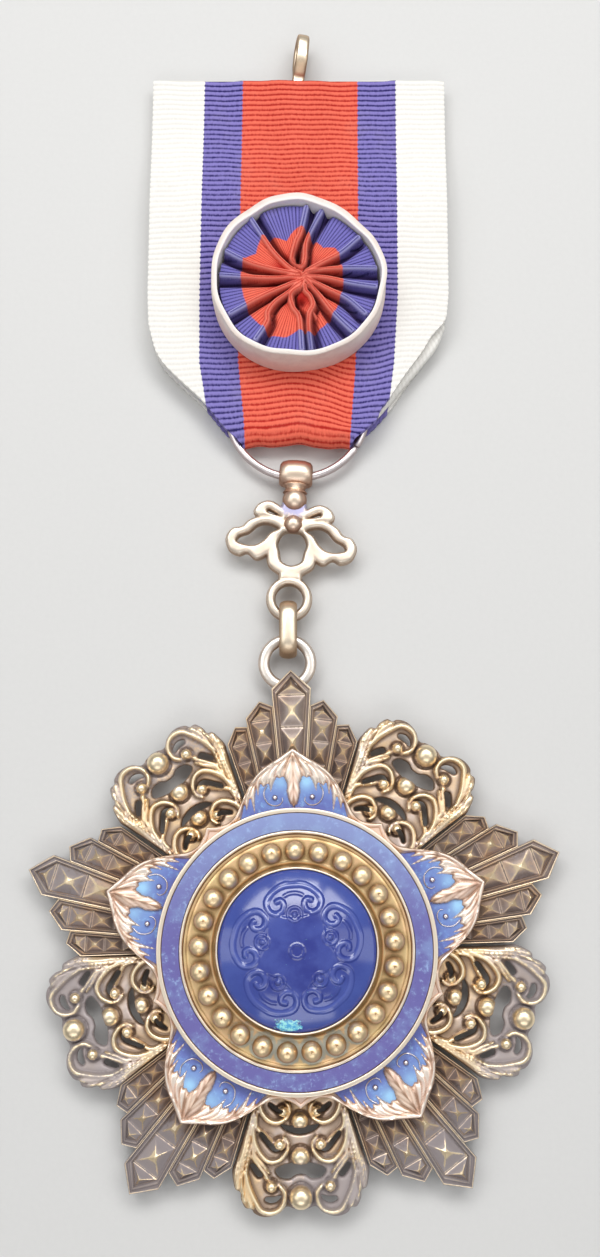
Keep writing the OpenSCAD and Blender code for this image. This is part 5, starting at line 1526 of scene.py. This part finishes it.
# %% Red inside its ragged border, and blue outside it
edge = np.array(RED_EDGE)
edge_a, edge_r = np.degrees(np.arctan2(edge[:, 1], edge[:, 0])), np.hypot(edge[:, 0], edge[:, 1])
order = np.argsort(edge_a)
red_reach = np.interp((np.degrees(a) + 180) % 360 - 180, edge_a[order], edge_r[order], period=360) * 0.97
blue = (r - red_reach) / 0.3


def padded(values, hub_value=0.0):
    """The marks of the disc's rows: a value for the hub, the rows, and again for the under side."""
    hub_row = values[:1] * 0 + hub_value
    return np.vstack([hub_row, values, values[::-8], hub_row])


pleat_uv = np.stack([padded(blue, -3.0), padded(rib, 0.5) * 3 + a * 20], -1)
# the pleats' blue as painted shade, painted light and a painted highlight, like the dyes of the ribbon
PLEAT_BLUES = [(0.010, 0.006, 0.085), (0.175, 0.155, 0.47), (0.50, 0.50, 0.78)]


def pleat_colour(cloth, place, tone):
    """Red inside the ragged border and blue outside it, from the mark called blue."""
    outside = (cloth.mark("blue") + (cloth.noise(0.2, 2) - 0.5) * 0.8).between(-0.3, 0.3)
    return cloth.mix(outside, REDS[tone], PLEAT_BLUES[tone])


print("red covers", round(float((blue < 0).mean()), 2), "of the disc's points")

# %% The pleated disc
rows = placed(x, y, top)
hub = rows[:1] * 0 + rows[0].mean(0) - [0, 0, 0.1]
thin = [0, 0, 0.4]
points = np.concatenate([hub, rows, rows[::-8] - thin, hub - thin]) + [*ROSETTE_AT, 0]
pleat_marks = {"rib": padded(rib, 0.5), "blue": padded(blue, -3.0), "deep": padded(deep), "ridge": padded(fold_edge)}
pleats = make_piece("pleated_disc", points, grid_faces(len(points), DISC_STEPS, False, True),
                    silk("rosette_silk", pleat_colour), ["rosette_pleats"], "rosette_silk", sharp=80, uv=pleat_uv,
                    marks=pleat_marks)

# %% The upright band of the rosette
BAND_STEPS, BAND_TOP, BAND_THICK = 300, ROSETTE_LOW + ROSETTE_H, 0.62
a = full_turn(BAND_STEPS)
ring = np.stack([np.cos(a), np.sin(a)], 1) * rosette_reach(a)[:, None]
t = np.linspace(0, 1, 24)
outside = np.stack([0.06 * np.sin(np.pi * t), ROSETTE_LOW + ROSETTE_H * t], 1)
crown = np.array([[-0.08, BAND_TOP + 0.06], [-0.3, BAND_TOP + 0.1], [-0.54, BAND_TOP + 0.06]])
profile = np.vstack([outside, crown, outside[::-1] - [BAND_THICK, 0]])
off, level = profile[:, :1], profile[:, 1:]
# the wall waves in and out, more so towards its top, and its rim goes up and down
away = off * (1 + 0.4 * np.clip(np.sin(a), 0, 1)) + 0.08 * np.sin(5 * a + level * 0.9) * eased((level - 4) / 3)
away = away + (0.05 * np.sin(13 * a + 1) + 0.05 * np.sin(8 * a)) * eased((level - 4.5) / 2.5)
lift = level + (0.10 * np.sin(4 * a + 2) + 0.03 * np.sin(17 * a)) * eased((level - 6) / 1.4) - 0.1
scale = 1 + away / rosette_reach(a)
shear = -0.4 * (1 - (lift - ROSETTE_LOW) / ROSETTE_H)
band_points = placed(ring[:, 0] * scale, ring[:, 1] * scale + shear, lift) + [*ROSETTE_AT, 0]
# the inner wall, which the silk paints lighter: painted light
inner = np.repeat(eased((-0.3 - profile[:, 0]) / 0.2), BAND_STEPS)
print("band up to", band_points[..., 2].max().round(2), "mm high")

# %% Soiled cream silk for the band, with painted shade low on its wall and painted light on its crown and inner wall
band_cloth = Finish("band_silk", Metallic=0.0, Sheen_Weight=0.3, Specular_IOR_Level=0.35)
fine = band_cloth.noise(0.18, 3, 0.7)
soil = band_cloth.noise(2.2, 4, 0.6)
cream = band_cloth.mix(soil.between(0.4, 0.7) * 0.6, (0.77, 0.67, 0.60), (0.62, 0.47, 0.43))
up = band_cloth.axis("Z")
# painted shade: pinker and darker towards the foot of the wall; then painted light on the crown and on the inner wall
cream = band_cloth.mix((1 - up.between(3.6, 7.0)) * 0.6, cream, (0.76, 0.40, 0.33))
cream = band_cloth.mix(up.between(7.2, 7.5) * 0.5, cream, (0.80, 0.75, 0.69))
cream = band_cloth.mix(band_cloth.mark("inner"), cream, (0.93, 0.88, 0.85))
cream = band_cloth.mix(fine.between(0.55, 0.8) * 0.25, cream, (0.55, 0.45, 0.42))
band_cloth.feed(Base_Color=cream, Roughness=0.75 - fine * 0.2)
band_cloth.bump(fine * 0.02 + band_cloth.noise(0.9, 3) * 0.06)
band = make_piece("rosette_ring", band_points, grid_faces(*band_points.shape[:2], True, True), band_cloth.material,
                  ["rosette_band"], "band_silk", sharp=70, marks={"inner": inner})

# %% [markdown]
# ## The floor
# The badge lies on a plain pale board.

# %% The floor
BOARD_HALF, BOARD_LOW = 400, -0.02
u, v = np.meshgrid(np.linspace(-BOARD_HALF, BOARD_HALF, 9), np.linspace(-BOARD_HALF, BOARD_HALF, 9))
board = Finish("pale_board", Metallic=0.0)
grain = board.noise(0.6, 4, 0.6)
board.feed(Base_Color=board.mix(grain * 0.5, (0.63, 0.625, 0.61), (0.575, 0.57, 0.56)), Roughness=0.62 + grain * 0.1)
board.bump(grain * 0.01)
mesh = bpy.data.meshes.new("board")
mesh.from_pydata(placed(u, v, BOARD_LOW).reshape(-1, 3) * MM, [], grid_faces(9, 9).tolist())
floor_board = bpy.data.objects.new("board", mesh)
mesh.materials.append(board.material)
put_in_scene(floor_board)
print("board:", 2 * BOARD_HALF, "mm square")
